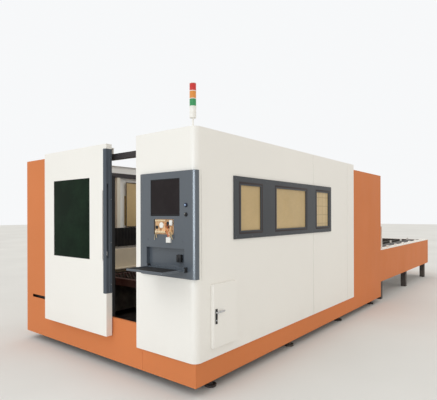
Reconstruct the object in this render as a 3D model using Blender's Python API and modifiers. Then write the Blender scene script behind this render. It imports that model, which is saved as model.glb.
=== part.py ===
"""Enclosed fiber laser cutting machine with a two-level exchange table.

Machine frame: X across (right side +X), Y from the front face towards the table, Z up from the
floor, in metres. An empty carries the whole machine, so that its box stands centred on the origin.
"""
from math import asin, cos, degrees, pi, radians, sin

import bmesh
import bpy
from mathutils import Matrix, Vector

# Shared fits and stock
seam = 0.0003
overrun = 0.01
sheet = 0.003
round_steps = 16

# Cabin envelope
floor_gap = 0.09
body_width = 2.86
wall_length = 3.56
cabin_length = 4.90
orange_height = 2.13
skirt_height = 0.205
shell_height = 2.20
shell_proud = 0.015
panel_depth = 0.03
half_width = body_width / 2
orange_top = floor_gap + orange_height
shell_low = floor_gap + skirt_height
shell_top = floor_gap + shell_height
shell_out = half_width + shell_proud
wall_inside = half_width - panel_depth

# Front opening, sill and the slot that guides the door's foot
column_width = 0.733
opening_width = 1.167
left_corner = 0.30
sill_height = 0.423
slot_low_height = 0.44
slot_high_height = 0.475
slot_edge = 0.14
skirt_seam_from_corner = 0.665
groove_width = 0.004
groove_depth = 0.0015
column_left = half_width - column_width
opening_left = column_left - opening_width
sill_top = floor_gap + sill_height

# Corner column
column_radius = 0.065
column_side = 0.12
column_inner_depth = 0.40

# Walls, windows and their film-covered panes
wall_seam_right = 2.20
wall_seam_left = 2.34
window_start_right = 0.513
window_start_left = 0.79
frame_margin = 0.108
frame_end_margin = 0.087
frame_low_margin = 0.0765
frame_high_margin = 0.082
pane_width_front = 0.347
pane_width_middle = 0.688
pane_width_rear = 0.354
mullion_front = 0.310
mullion_rear = 0.297
frame_low_height = 1.2255
frame_high_height = 1.817
frame_proud = 0.012
pane_lip = 0.014
pane_thick = 0.005
frame_low = floor_gap + frame_low_height
frame_high = floor_gap + frame_high_height
pane_low = frame_low + frame_low_margin
pane_high = frame_high - frame_high_margin

# Steel side frames and the header that carries the door
tube = 0.06
beam_low_height = 2.018
beam_depth = 0.064
beam_low = floor_gap + beam_low_height
beam_high = beam_low + beam_depth
post_places_right = (1.11, 2.09, 3.48, 4.74)
post_places_left = (1.33, 2.31, 3.48, 4.74)
header_low_height = 2.016
header_depth = 0.056
header_low = floor_gap + header_low_height
header_high = header_low + header_depth

# Base frame and feet
base_high = 0.20
base_low = 0.095
base_beam = 0.12
cross_places = (0.62, 2.05, 3.40)
foot_radius = 0.055
foot_stem = 0.022
foot_pad = 0.02
foot_places = (0.30, 1.75, 3.20, 4.60)

# Bed sides with the runways of both pallets
bed_start = 0.66
bed_end = 4.80
bed_clearance = 0.13
bed_width = 0.32
bed_outer = half_width - bed_clearance
bed_inner = bed_outer - bed_width
bed_high = 1.06
ledge_reach = 0.105
ledge_thick = 0.012
rail_width = 0.035
rail_height = 0.03
rail_inset = 0.11
rack_width = 0.03
rack_inset = 0.18
rack_height = 0.024
track_plate = 0.006
guard_inset = 0.26
guard_pleat = 0.035
guard_sheet = 0.006
guard_pitch = 0.06
guard_height = 0.29

# Pallets
pallet_length = 3.20
pallet_clearance = 0.12
pallet_half = bed_inner - pallet_clearance
pallet_depth = 0.10
pallet_high = 0.93
pallet_step = 0.17
pallet_beam = 0.06
pallet_in = 0.70
pallet_out = 5.15
slat_count = 20
slat_thick = 0.006
slat_depth = 0.085
slat_teeth = 12
slat_tooth = 0.028
slat_sink = 0.02
wheel_radius = 0.04
wheel_width = 0.055
wheel_drop = 0.08
wheel_sink = 0.01
wheel_places = (0.25, 1.15, 2.05, 2.95)
ledge_top = pallet_high - wheel_drop - wheel_radius - seam

# Gantry, carriage and cutting head
gantry_place = 3.60
gantry_overhang = 0.10
gantry_half = bed_outer - gantry_overhang
gantry_depth = 0.26
gantry_low = 1.17
gantry_height = 0.26
gantry_chamfer = 0.04
saddle_length = 0.40
saddle_setback = 0.04
saddle_inner = bed_inner + saddle_setback
guide_proud = 0.02
guide_width = 0.03
guide_shares = (0.22, 0.78)
carriage_half = 0.15
carriage_thick = 0.05
carriage_low = 1.14
carriage_height = 0.46
unit_half = 0.10
unit_depth = 0.11
unit_low = 1.26
unit_height = 0.50
motor_radius = 0.045
motor_height = 0.12
head_half = 0.055
head_depth = 0.08
head_low = 1.15
head_height = 0.36
nozzle_length = 0.09
nozzle_radius = 0.032
nozzle_tip = 0.006

# Exchange table
table_length = 3.83
table_inset = 0.03
table_low_height = 0.245
table_high_height = 0.83
deck_low = 0.60
leg = 0.10
leg_clearance = 0.18
leg_places = (0.20, 1.87, table_length - leg - leg_clearance)
strip_width = 0.10
strip_thick = 0.02
roller_radius = 0.024
roller_width = 0.045
roller_first = 0.68
roller_pitch = 0.528
roller_count = 6
roller_rise = 0.006
table_low = floor_gap + table_low_height
table_high = floor_gap + table_high_height
table_end = cabin_length + table_length
table_out = half_width - table_inset
strip_low = table_high - strip_thick
panel_high = strip_low - seam
deck_high = strip_low - seam
tie_low = 0.36
tie_depth = 0.10
post_side = 0.035
post_height = 0.39
post_setback = 0.2585

# Rear portal and its lifting gate
portal_half = bed_inner
portal_low = 0.57
portal_high = 1.22
guide_bar = 0.03
guide_bar_depth = 0.045
gate_thick = 0.03
gate_low = 0.965
gate_height = 0.72
gate_rib = 0.012
gate_rib_shares = (0.25, 0.5, 0.75)

# Sliding door
door_right_from_corner = 1.108
door_width = 1.1745
door_low_height = 0.25
door_high_height = 2.162
door_proud = 0.08
door_thick = 0.07
door_rim = 0.04
door_edge = 0.004
glass_left_from_corner = 2.080
glass_width = 0.692
glass_low_height = 0.998
glass_high_height = 1.837
glass_thick = 0.006
glass_ledge = 0.02
glass_pocket = 0.010
grip_width = 0.044
grip_low_height = 0.676
grip_high_height = 2.112
grip_proud = 0.004
grip_chamfer = 0.008
grip_step = 0.004
grip_step_from_front = 0.040
grip_slot_low_height = 1.026
grip_slot_high_height = 1.764
grip_slot_from_front = 0.018
grip_slot_width = 0.016
grip_slot_depth = 0.018
pull_gap = 0.006
pull_width = 0.022
pull_proud = 0.012
pull_low_height = 1.008
pull_high_height = 1.698
foot_pin_radius = 0.010
foot_pin_from_corner = 2.15
foot_pin_reach = 0.035
hanger_share = 0.38
hanger_width = 0.09
hanger_thick = 0.008
hanger_clearance = 0.008
hanger_reach = 0.09
hanger_wheel = 0.014
hanger_wheel_width = 0.02
door_right = half_width - door_right_from_corner
door_left = door_right - door_width
door_low = floor_gap + door_low_height
door_high = floor_gap + door_high_height
door_front = -door_proud
door_back = door_front + door_thick
grip_left = door_right - grip_width

# Console, from its lower edge upwards
console_from_corner = 0.665
console_low_height = 0.914
console_thick = 0.020
console_radius = 0.045
console_bevel = 0.045
console_lip = 0.006
console_side = 0.012
console_box_depth = 0.095
console_edge = 0.0025
bay_clearance = 0.096
bay_height = 0.156
board_clearance = 0.117
board_height = 0.134
monitor_clearance = 0.027
monitor_height = 0.325
console_clearance = 0.060
bay_low_height = console_low_height + bay_clearance
board_low_height = bay_low_height + bay_height + board_clearance
monitor_low_height = board_low_height + board_height + monitor_clearance
console_high_height = monitor_low_height + monitor_height + console_clearance
console_low = floor_gap + console_low_height
console_high = floor_gap + console_high_height
console_left = half_width - console_from_corner
console_front = -shell_proud - console_thick
box_margin = 0.025
monitor_width = 0.363
monitor_right_from_corner = 0.1465
monitor_thick = 0.03
monitor_bezel = 0.022
monitor_sink = 0.004
board_right_from_corner = 0.219
board_width = 0.249
board_pocket = 0.036
board_thick = 0.004
board_lift = 0.018
chip_width_shares = (0.12, 0.42, 0.70)
chip_height_shares = (0.30, 0.55, 0.35)
chip_share = 0.18
bay_right_from_corner = 0.095
bay_width = 0.47
bay_depth = 0.035
control_from_corner = 0.072
button_clearance = 0.093
switch_clearance = 0.014
button_height = monitor_low_height + button_clearance
switch_height = monitor_low_height + switch_clearance
cap_radius = 0.013
cap_proud = 0.012
cap_sink = 0.014
switch_ridge = 0.006
switch_ridge_proud = 0.008
connector_from_corner = 0.272
connector_clearance = 0.0465
connector_height = board_low_height - connector_clearance
connector_width = 0.052
connector_tall = 0.046
connector_thick = 0.0145
lead_width = 0.012
lead_thick = 0.003
tray_right_from_corner = 0.071
tray_width = 0.44
tray_depth = 0.265
tray_thick = 0.018
tray_rim = 0.008
tray_sink = 0.010
tray_axis_out = 0.025
tray_axis_drop = 0.020
tray_axis_high = floor_gap + bay_low_height - tray_axis_drop
tray_behind_axis = 0.012
ear = 0.010
ear_half = 0.014
button_z = floor_gap + button_height
switch_z = floor_gap + switch_height
control_x = half_width - control_from_corner
monitor_right = half_width - monitor_right_from_corner
monitor_low = floor_gap + monitor_low_height
board_right = half_width - board_right_from_corner
board_low = floor_gap + board_low_height
bay_right = half_width - bay_right_from_corner
bay_low = floor_gap + bay_low_height
tray_right = half_width - tray_right_from_corner
tray_axis_y = console_front - tray_axis_out

# Electrical cabinet, its door and the door's lever
cabinet_clearance = 0.003
cabinet_left = column_left + cabinet_clearance
cabinet_start = 0.125
cabinet_end = 0.64
cabinet_high = 2.05
cabinet_wall = 0.02
hatch_start = 0.18
hatch_end = 0.525
hatch_low_height = 0.298
hatch_high_height = 0.848
hatch_thick = 0.034
hatch_margin = 0.02
device_shares = (0.20, 0.45, 0.70)
device_depth = 0.05
hinge_axis_out = 0.022
hinge_axis_back = 0.007
knuckle_radius = 0.0055
knuckle_length = 0.05
knuckle_shares = (0.15, 0.80)
lever_plate_start = 0.202
lever_plate_width = 0.026
lever_plate_low_height = 0.507
lever_plate_high_height = 0.637
lever_plate_thick = 0.006
lever_height = 0.607
lever_boss = 0.012
lever_reach = 0.097
lever_bar = 0.014
lever_thick = 0.014
hatch_low = floor_gap + hatch_low_height
hatch_high = floor_gap + hatch_high_height
hatch_face = shell_out + seam + hatch_thick
lever_z = floor_gap + lever_height
lever_y = lever_plate_start + lever_plate_width / 2

# Signal mast
mast_inset = 0.10
mast_setback = 0.083
mast_radius = 0.008
mast_height = 0.087
signal_radius = 0.0285
signal_base = 0.10
lens_height = 0.066
signal_neck = 0.004
signal_neck_height = 0.006

machine_x = -(lever_plate_thick + lever_thick + hatch_thick) / 2
machine_y = -(table_end + console_front - tray_axis_out - tray_depth + tray_behind_axis) / 2

pieces = bpy.data.collections.new("laser_cutting_machine")
guides = bpy.data.collections.new("cutters")


# Scene, materials and objects

def clear_scene():
    for item in list(bpy.data.objects):
        bpy.data.objects.remove(item, do_unlink=True)
    bpy.context.scene.collection.children.link(pieces)
    bpy.context.scene.collection.children.link(guides)


def material(name, colour, roughness, metallic=0.0):
    paint = bpy.data.materials.get(name) or bpy.data.materials.new(name)
    paint.use_nodes = True
    shader = paint.node_tree.nodes["Principled BSDF"]
    shader.inputs["Base Color"].default_value = (*colour, 1.0)
    shader.inputs["Roughness"].default_value = roughness
    shader.inputs["Metallic"].default_value = metallic
    return paint


def orange():
    return material("orange_coat", (0.80, 0.25, 0.09), 0.45)


def white():
    return material("white_coat", (0.82, 0.81, 0.77), 0.40)


def slate():
    return material("slate_coat", (0.09, 0.10, 0.13), 0.35, 0.3)


def black():
    return material("black_coat", (0.02, 0.02, 0.022), 0.55)


def steel():
    return material("bare_steel", (0.55, 0.55, 0.56), 0.35, 1.0)


def film():
    return material("tan_film", (0.58, 0.44, 0.25), 0.55)


def glass():
    return material("green_glass", (0.01, 0.03, 0.02), 0.08)


def empty(name, place, parent=None):
    holder = bpy.data.objects.new(name, None)
    pieces.objects.link(holder)
    holder.location = place
    holder.parent = parent
    return holder


def hang(item, holder, pivot):
    """Parent a piece and its cutters to an empty that stands on the given pivot."""
    for each in [item] + [m.object for m in item.modifiers if m.type == "BOOLEAN"]:
        each.parent = holder
        each.location = -Vector(pivot)
    return item


def object_from(mesh, name, paint):
    item = bpy.data.objects.new(name, mesh)
    pieces.objects.link(item)
    if paint:
        item.data.materials.append(paint)
    return item


def object_from_bmesh(shape, name, paint):
    mesh = bpy.data.meshes.new(name)
    shape.to_mesh(mesh)
    shape.free()
    return object_from(mesh, name, paint)


def block(name, x, y, z, paint=None):
    """A box between three pairs of coordinates."""
    size = Vector((x[1] - x[0], y[1] - y[0], z[1] - z[0]))
    middle = Vector((x[0] + x[1], y[0] + y[1], z[0] + z[1])) / 2
    shape = bmesh.new()
    bmesh.ops.create_cube(shape, size=1.0, matrix=Matrix.Translation(middle) @ Matrix.Diagonal(size).to_4x4())
    return object_from_bmesh(shape, name, paint)


def facing(axis):
    """Turn local Z onto the given axis; local X and Y become the outline's two directions."""
    if axis == "X":
        return Matrix(((0, 0, 1), (1, 0, 0), (0, 1, 0))).to_4x4()
    if axis == "Y":
        return Matrix(((1, 0, 0), (0, 0, -1), (0, 1, 0))).to_4x4()
    return Matrix.Identity(4)


def along(axis, distance):
    return Vector([distance if name == axis else 0.0 for name in "XYZ"])


def plate(name, outline, span, axis, paint=None, holes=()):
    """A flat outline, with holes, made thick between two places on an axis."""
    curve = bpy.data.curves.new(name, "CURVE")
    curve.dimensions = "2D"
    curve.fill_mode = "BOTH"
    curve.extrude = (span[1] - span[0]) / 2
    for ring in (outline, *holes):
        spline = curve.splines.new("POLY")
        spline.points.add(len(ring) - 1)
        for point, (first, second) in zip(spline.points, ring):
            point.co = (first, second, 0.0, 1.0)
        spline.use_cyclic_u = True
    drawn = bpy.data.objects.new(name, curve)
    pieces.objects.link(drawn)
    mesh = bpy.data.meshes.new_from_object(drawn.evaluated_get(bpy.context.evaluated_depsgraph_get()))
    bpy.data.objects.remove(drawn, do_unlink=True)
    shape = bmesh.new()
    shape.from_mesh(mesh)
    bmesh.ops.remove_doubles(shape, verts=shape.verts, dist=seam / 10)
    turned_on = Matrix.Translation(along(axis, (span[0] + span[1]) / 2)) @ facing(axis)
    bmesh.ops.transform(shape, matrix=turned_on, verts=shape.verts)
    bmesh.ops.recalc_face_normals(shape, faces=shape.faces)
    bpy.data.meshes.remove(mesh)
    return object_from_bmesh(shape, name, paint)


def cylinder(name, centre, radius, span, axis, paint=None, steps=round_steps, tip=None):
    """A round bar, or a cone where tip gives the radius at its far end."""
    shape = bmesh.new()
    middle = Vector(centre) + along(axis, (span[0] + span[1]) / 2)
    place = Matrix.Translation(middle) @ facing(axis)
    if axis == "Y":
        place = place @ Matrix.Rotation(pi, 4, "X")
    bmesh.ops.create_cone(shape, cap_ends=True, segments=steps, radius1=radius,
                          radius2=radius if tip is None else tip, depth=span[1] - span[0], matrix=place)
    item = object_from_bmesh(shape, name, paint)
    item.data.shade_smooth()
    item.data.set_sharp_from_angle(angle=radians(40))
    return item


def turned(name, centre, profile, paint, steps=round_steps):
    """A turned piece from its outer profile, top to bottom, round a vertical axis."""
    shape = bmesh.new()
    points = [shape.verts.new((radius, 0.0, height)) for radius, height in profile]
    for upper, lower in zip(points, points[1:]):
        shape.edges.new((upper, lower))
    item = object_from_bmesh(shape, name, paint)
    item.location = centre
    screw = item.modifiers.new("turn", "SCREW")
    screw.steps = steps
    screw.render_steps = steps
    screw.use_merge_vertices = True
    screw.merge_threshold = seam / 10
    screw.use_smooth_shade = True
    return item


def boolean(item, other, operation):
    other.hide_render = True
    other.display_type = "WIRE"
    for holder in list(other.users_collection):
        holder.objects.unlink(other)
    guides.objects.link(other)
    step = item.modifiers.new(operation.lower(), "BOOLEAN")
    step.operation = operation
    step.solver = "EXACT"
    step.object = other
    return item


def cut(item, *others):
    for other in others:
        boolean(item, other, "DIFFERENCE")
    return item


def join(item, *others):
    for other in others:
        boolean(item, other, "UNION")
    return item


def merged(name, items):
    """One cutter or joiner from several separate shapes."""
    shape = bmesh.new()
    for each in items:
        shape.from_mesh(each.data)
        bpy.data.objects.remove(each, do_unlink=True)
    return object_from_bmesh(shape, name, None)


def soften(item, width, steps=2):
    bevel = item.modifiers.new("soft_edges", "BEVEL")
    bevel.width = width
    bevel.segments = steps
    bevel.limit_method = "ANGLE"
    bevel.angle_limit = radians(50)
    return item


def box_outline(first, second):
    return [(first[0], second[0]), (first[1], second[0]), (first[1], second[1]), (first[0], second[1])]


def inset(outline, distance):
    """Move each side of a counter-clockwise outline inwards by a distance."""
    moved = []
    count = len(outline)
    for index in range(count):
        before, here, after = (Vector(outline[(index + step) % count]) for step in (-1, 0, 1))
        first, second = (here - before).normalized(), (after - here).normalized()
        inward = Vector((-first.y, first.x)) + Vector((-second.y, second.x))
        corner = here + inward * distance / (1 + first.dot(second))
        moved.append((corner.x, corner.y))
    return moved


def arc(centre, radius, start, end, steps):
    angles = [radians(start + (end - start) * step / steps) for step in range(steps + 1)]
    return [(centre[0] + radius * cos(angle), centre[1] + radius * sin(angle)) for angle in angles]


def cover(name, outline, face, depth, axis, paint, towards):
    """A folded sheet cover: an outline with returned edges, open at its back."""
    back = face + towards * depth
    skin = face + towards * sheet
    end = face + towards * (depth + overrun)
    item = plate(name, outline, sorted((face, back)), axis, paint)
    return cut(item, plate(name + "_hollow", inset(outline, sheet), sorted((skin, end)), axis))


def mirrored(outline):
    return [(-first, second) for first, second in reversed(outline)]


# Fixed structure

def base_frame():
    side = wall_inside - seam
    front, back = panel_depth + seam, cabin_length - panel_depth - seam
    outer = box_outline((-side, side), (front, back))
    item = plate("base_frame", outer, (base_low, base_high), "Z", slate(), holes=[inset(outer, base_beam)])
    tie = overrun - side
    crosses = [block("cross", (tie, -tie), (place, place + base_beam), (base_low + sheet, base_high - sheet))
               for place in cross_places]
    join(item, merged("crosses", crosses))
    join(item, block("base_pan", (sheet - side, side - sheet), (front + sheet, back - sheet),
                     (base_low + sheet, base_low + sheet * 2)))
    feet = []
    for hand in (-1, 1):
        for place in foot_places:
            spot = (hand * (side - base_beam / 2), place, 0.0)
            pad = cylinder("pad", spot, foot_radius, (0.0, foot_pad), "Z")
            stem = cylinder("stem", spot, foot_stem, (foot_pad / 2, base_low + overrun), "Z")
            feet += [pad, stem]
    pads, stems = merged("foot_pads", feet[0::2]), merged("foot_stems", feet[1::2])
    return join(item, stems, pads)


def bed_side(name, hand):
    across = sorted((hand * bed_inner, hand * bed_outer))
    item = block(name, across, (bed_start, bed_end), (base_high + seam, bed_high), white())
    ledge_in = bed_inner - ledge_reach
    reach = sorted((hand * ledge_in, hand * (bed_inner + overrun)))
    for level, step in (("upper", 0.0), ("lower", pallet_step)):
        top = ledge_top - step
        join(item, block(f"{name}_{level}_ledge", reach, (bed_start + sheet, bed_end - sheet),
                         (top - ledge_thick, top)))
    return item


def y_rail(name, hand):
    start, end = bed_start + overrun, bed_end - overrun
    low = bed_high + seam
    first = bed_inner + rail_inset - rail_width / 2
    rack_first = bed_inner + rack_inset
    last = rack_first + rack_width
    base = sorted((hand * (first - overrun), hand * (last + overrun)))
    item = block(name, base, (start, end), (low, low + track_plate), steel())
    rail = sorted((hand * first, hand * (first + rail_width)))
    rack = sorted((hand * rack_first, hand * last))
    join(item, block(name + "_bar", rail, (start + sheet, end - sheet), (low + sheet, low + rail_height)))
    return join(item, block(name + "_rack", rack, (start + sheet, end - sheet), (low + sheet, low + rack_height)))


def rail_guard(name, hand):
    """A pleated guard that stands beside the rail: a zigzag strip of one thickness."""
    start, end = bed_start, bed_end
    count = 2 * round((end - start) / guard_pitch)
    near = bed_inner + guard_inset
    line = [(near + guard_pleat * (step % 2), start + (end - start) * step / count) for step in range(count + 1)]
    outline = line + [(x + guard_sheet, y) for x, y in reversed(line)]
    outline = outline if hand < 0 else mirrored(outline)
    flipped = [(-x, y) for x, y in reversed(outline)]
    return plate(name, flipped, (bed_high + seam, bed_high + guard_height), "Z", black())


def side_frame(name, hand, start, post_places):
    outer = wall_inside - seam
    inner = outer - tube
    end = cabin_length - panel_depth - seam
    across = sorted((hand * inner, hand * outer))
    item = block(name, across, (start, end), (beam_low, beam_high), slate())
    slim = sorted((hand * (inner + sheet), hand * (outer - sheet)))
    posts = [block("post", slim, (place, place + tube), (base_high + seam, beam_low + overrun))
             for place in post_places]
    return join(item, merged(name + "_posts", posts))


def header_beam():
    depth = (panel_depth + seam, panel_depth + tube)
    across = (-wall_inside + tube + seam, column_left - seam)
    return block("header_beam", across, depth, (header_low, header_high), slate())


# Orange sheet covers

def front_panel():
    left, right = -half_width, half_width
    skirt_top, edge = shell_low - seam, column_left - seam
    outline = [(left, floor_gap), (right, floor_gap), (right, skirt_top), (edge, skirt_top),
               (edge, sill_top), (opening_left, sill_top), (opening_left, orange_top), (left, orange_top)]
    item = cover("front_panel", outline, 0.0, panel_depth, "Y", orange(), 1)
    slot = block("guide_slot", (left + slot_edge, opening_left + overrun), (-overrun, panel_depth + overrun),
                 (floor_gap + slot_low_height, floor_gap + slot_high_height))
    middle = right - skirt_seam_from_corner
    groove = block("skirt_seam", (middle - groove_width / 2, middle + groove_width / 2),
                   (-overrun, groove_depth), (floor_gap - overrun, sill_top + overrun))
    level = floor_gap + slot_high_height
    upper_groove = block("corner_seam", (left - overrun, left + slot_edge + overrun), (-overrun, groove_depth),
                         (level - groove_width, level))
    return cut(item, slot, groove, upper_groove)


def side_panel(name, hand, corner=0.0):
    """The skirt and tower of one side, with the front corner's full-height part where it has one."""
    start = panel_depth + seam
    tower = wall_length + seam
    skirt_top = shell_low - seam
    outline = [(start, floor_gap), (cabin_length, floor_gap), (cabin_length, orange_top), (tower, orange_top),
               (tower, skirt_top)]
    outline += [(corner, skirt_top), (corner, orange_top), (start, orange_top)] if corner else [(start, skirt_top)]
    return cover(name, outline, hand * half_width, panel_depth, "X", orange(), -hand)


def rear_portal():
    side = half_width - panel_depth - seam
    outer = box_outline((-side, side), (floor_gap, orange_top))
    gap = box_outline((-portal_half, portal_half), (portal_low, portal_high))
    item = plate("rear_portal", outer, (cabin_length - sheet, cabin_length), "Y", orange(), holes=[gap])
    front = cabin_length - guide_bar_depth - sheet
    for tag, hand in (("left", -1), ("right", 1)):
        across = sorted((hand * (portal_half - guide_bar), hand * (portal_half + sheet)))
        join(item, block(f"gate_guide_{tag}", across, (front, cabin_length - sheet / 2),
                         (portal_low - guide_bar, gate_low + gate_height)))
    return item


def table_panel_side(name, hand):
    outline = box_outline((cabin_length + seam, table_end - panel_depth - seam), (table_low, panel_high))
    return cover(name, outline, hand * table_out, panel_depth, "X", orange(), -hand)


def table_panel_end():
    outline = box_outline((-table_out, table_out), (table_low, panel_high))
    return cover("table_panel_end", outline, table_end, panel_depth, "Y", orange(), -1)


# White shells, windows and panes

def corner_outline(reach, left, side):
    """The column's plan: front face, rounded corner and side, at a distance outside the shell."""
    radius = column_radius + reach
    centre = (shell_out - column_radius, column_radius - shell_proud)
    front = -shell_proud - reach
    return [(left, front)] + arc(centre, radius, -90, 0, 8) + [(shell_out + reach, side)]


def column_shell():
    left = column_left
    outer = corner_outline(0.0, left, column_side) + [(left, column_side)]
    item = plate("column_shell", outer, (shell_low, shell_top), "Z", white())
    inner = corner_outline(-sheet, left + sheet, column_side + overrun) + [(left + sheet, column_side + overrun)]
    cut(item, plate("column_hollow", inner, (shell_low - overrun, shell_top - sheet), "Z"))
    cheek = block("column_cheek", (left, left + sheet), (sheet, column_inner_depth), (shell_low, shell_top))
    join(item, cheek)
    return cut(item, console_aperture())


def console_aperture():
    box = console_box_span()
    return block("console_aperture", (box[0][0] - seam, box[0][1] + seam), (-overrun - shell_proud, sheet),
                 (box[1][0] - seam, box[1][1] + seam))


def pane_spans(start):
    """The openings of one window band, front to rear."""
    front = start + frame_margin
    middle = front + pane_width_front + mullion_front
    rear = middle + pane_width_middle + mullion_rear
    return [(front, front + pane_width_front), (middle, middle + pane_width_middle), (rear, rear + pane_width_rear)]


def wall(name, hand, span, window_start):
    outline = box_outline(span, (shell_low, shell_top))
    depth = shell_out - wall_inside
    item = cover(name, outline, hand * shell_out, depth, "X", white(), -hand)
    through = sorted((hand * (shell_out + overrun), hand * (shell_out - sheet - overrun)))
    lip = pane_lip + seam
    for index, pane in enumerate(pane_spans(window_start)):
        if span[0] < pane[0] and pane[1] < span[1]:
            cut(item, block(f"{name}_light_{index}", through, (pane[0] - lip, pane[1] + lip),
                            (pane_low - lip, pane_high + lip)))
    return item


def right_wall_front():
    item = wall("right_wall_front", 1, (column_side + seam, wall_seam_right), window_start_right)
    through = (shell_out - sheet - overrun, shell_out + overrun)
    cut(item, block("hatch_opening", through, (hatch_start + hatch_margin, hatch_end - hatch_margin),
                    (hatch_low + hatch_margin, hatch_high - hatch_margin)))
    for tag, low in zip(("low", "high"), knuckle_lows()):
        join(item, *knuckle(f"wall_knuckle_{tag}", low + knuckle_length + seam, 1))
    return item


def window_frame(name, hand, start):
    panes = pane_spans(start)
    outer = box_outline((start, panes[2][1] + frame_end_margin), (frame_low, frame_high))
    gaps = [box_outline(pane, (pane_low, pane_high)) for pane in panes]
    face = sorted((hand * (shell_out + seam), hand * (shell_out + seam + frame_proud)))
    return plate(name, outer, face, "X", slate(), holes=gaps)


def pane(name, hand, span):
    outer = shell_out
    across = sorted((hand * (outer - pane_thick), hand * outer))
    return block(name, across, (span[0] - pane_lip, span[1] + pane_lip),
                 (pane_low - pane_lip, pane_high + pane_lip), film())


# Exchange table

def table_frame():
    inner, outer = bed_inner, table_out - panel_depth - seam
    start, end = cabin_length + seam, table_end - panel_depth - seam
    item = block("table_frame", (-outer, outer), (start, end), (deck_low, deck_high), slate())
    cut(item, block("pallet_space", (-inner, inner), (start - overrun, end - leg), (deck_low - overrun, deck_high + overrun)))
    for tag, hand in (("left", -1), ("right", 1)):
        reach = sorted((hand * (bed_inner - ledge_reach), hand * (bed_inner + overrun)))
        for level, step in (("upper", 0.0), ("lower", pallet_step)):
            top = ledge_top - step
            join(item, block(f"table_ledge_{level}_{tag}", reach, (start, end - leg / 2), (top - ledge_thick, top)))
        legs = [block("leg", sorted((hand * (outer - leg), hand * (outer - sheet))), (start + place, start + place + leg),
                      (0.0, deck_low + overrun)) for place in leg_places]
        join(item, merged(f"table_legs_{tag}", legs))
    ties = [block("tie", (-outer + leg / 2, outer - leg / 2), (start + place + sheet, start + place + leg - sheet),
                  (tie_low, tie_low + tie_depth)) for place in leg_places]
    return join(item, merged("table_ties", ties))


def table_strip(name, hand):
    """The pale runner on top of a side, with its row of rollers."""
    start, end = cabin_length + seam, table_end
    across = sorted((hand * (table_out - strip_width), hand * table_out))
    item = block(name, across, (start, end), (strip_low, table_high), white())
    middle = hand * (table_out - strip_width / 2)
    rollers = [cylinder("roller", (middle, cabin_length + roller_first + index * roller_pitch, table_high + roller_rise),
                        roller_radius, (-roller_width / 2, roller_width / 2), "X", steps=12)
               for index in range(roller_count)]
    return join(item, merged(name + "_rollers", rollers))


def guard_post():
    right = table_out - strip_width / 2 + post_side / 2
    start = cabin_length + post_setback
    return block("guard_post", (right - post_side, right), (start, start + post_side),
                 (table_high + seam, table_high + post_height), white())


def slat_outline():
    """One support slat: a straight foot and a row of teeth."""
    half = pallet_half - pallet_beam + slat_sink
    pitch = 2 * half / slat_teeth
    low, valley, tip = pallet_high - slat_depth, pallet_high - slat_tooth, pallet_high
    outline = [(-half, low), (half, low), (half, valley)]
    for index in range(slat_teeth):
        middle = half - pitch * (index + 1 / 2)
        outline += [(middle, tip), (middle - pitch / 2, valley)]
    return outline


def pallet(name, drop):
    inner = pallet_half - pallet_beam
    span = (-pallet_half, pallet_half)
    high, low = pallet_high - slat_tooth / 2, pallet_high - pallet_depth
    item = plate(name, box_outline(span, (0.0, pallet_length)), (low, high), "Z", black(),
                 holes=[box_outline((-inner, inner), (pallet_beam, pallet_length - pallet_beam))])
    pitch = (pallet_length - 2 * pallet_beam) / (slat_count + 1)
    outline = slat_outline()
    slats = [plate("slat", outline, (pallet_beam + pitch * (index + 1) - slat_thick / 2,
                                     pallet_beam + pitch * (index + 1) + slat_thick / 2), "Y")
             for index in range(slat_count)]
    join(item, merged(name + "_slats", slats))
    wheels = [cylinder("wheel", (0.0, place, pallet_high - wheel_drop), wheel_radius,
                       sorted((hand * (pallet_half - wheel_sink), hand * (pallet_half + wheel_width))), "X", steps=12)
              for hand in (-1, 1) for place in wheel_places]
    join(item, merged(name + "_wheels", wheels))
    holder = empty(name + "_axis", (0.0, pallet_in if drop else pallet_out, -drop), machine)
    return hang(item, holder, (0.0, 0.0, 0.0))


# Gantry, carriage and head

def gantry_beam():
    front, back = gantry_place - gantry_depth / 2, gantry_place + gantry_depth / 2
    high = gantry_low + gantry_height
    section = [(front, gantry_low), (back, gantry_low), (back, high - gantry_chamfer),
               (back - gantry_chamfer, high), (front + gantry_chamfer, high), (front, high - gantry_chamfer)]
    item = plate("gantry_beam", section, (-gantry_half, gantry_half), "X", white())
    length = (gantry_place - saddle_length / 2, gantry_place + saddle_length / 2)
    saddles = [block("saddle", sorted((hand * saddle_inner, hand * (gantry_half - sheet))), length,
                     (bed_high + rail_height + 2 * seam, gantry_low + overrun)) for hand in (-1, 1)]
    join(item, merged("saddles", saddles))
    for index, share in enumerate(guide_shares):
        middle = gantry_low + share * (gantry_height - gantry_chamfer)
        join(item, block(f"x_guide_{index}", (-saddle_inner, saddle_inner), (front - guide_proud, front + sheet),
                         (middle - guide_width / 2, middle + guide_width / 2)))
    return item


def carriage_front():
    return gantry_place - gantry_depth / 2 - guide_proud - seam - carriage_thick


def carriage():
    front = carriage_front()
    return soften(block("carriage", (-carriage_half, carriage_half), (front, front + carriage_thick),
                        (carriage_low, carriage_low + carriage_height), slate()), sheet)


def head_drive():
    back = carriage_front() - seam
    item = block("head_drive", (-unit_half, unit_half), (back - unit_depth, back), (unit_low, unit_low + unit_height), white())
    middle = back - unit_depth / 2
    top = unit_low + unit_height
    join(item, cylinder("drive_motor", (0.0, middle, 0.0), motor_radius, (top - sheet, top + motor_height), "Z"))
    runner = head_half + sheet
    return cut(item, block("head_runway", (-runner, runner), (back - unit_depth - overrun, middle),
                           (unit_low - overrun, top - carriage_thick)))


def head_middle():
    return carriage_front() - seam - unit_depth / 2 - seam - head_depth / 2


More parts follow.
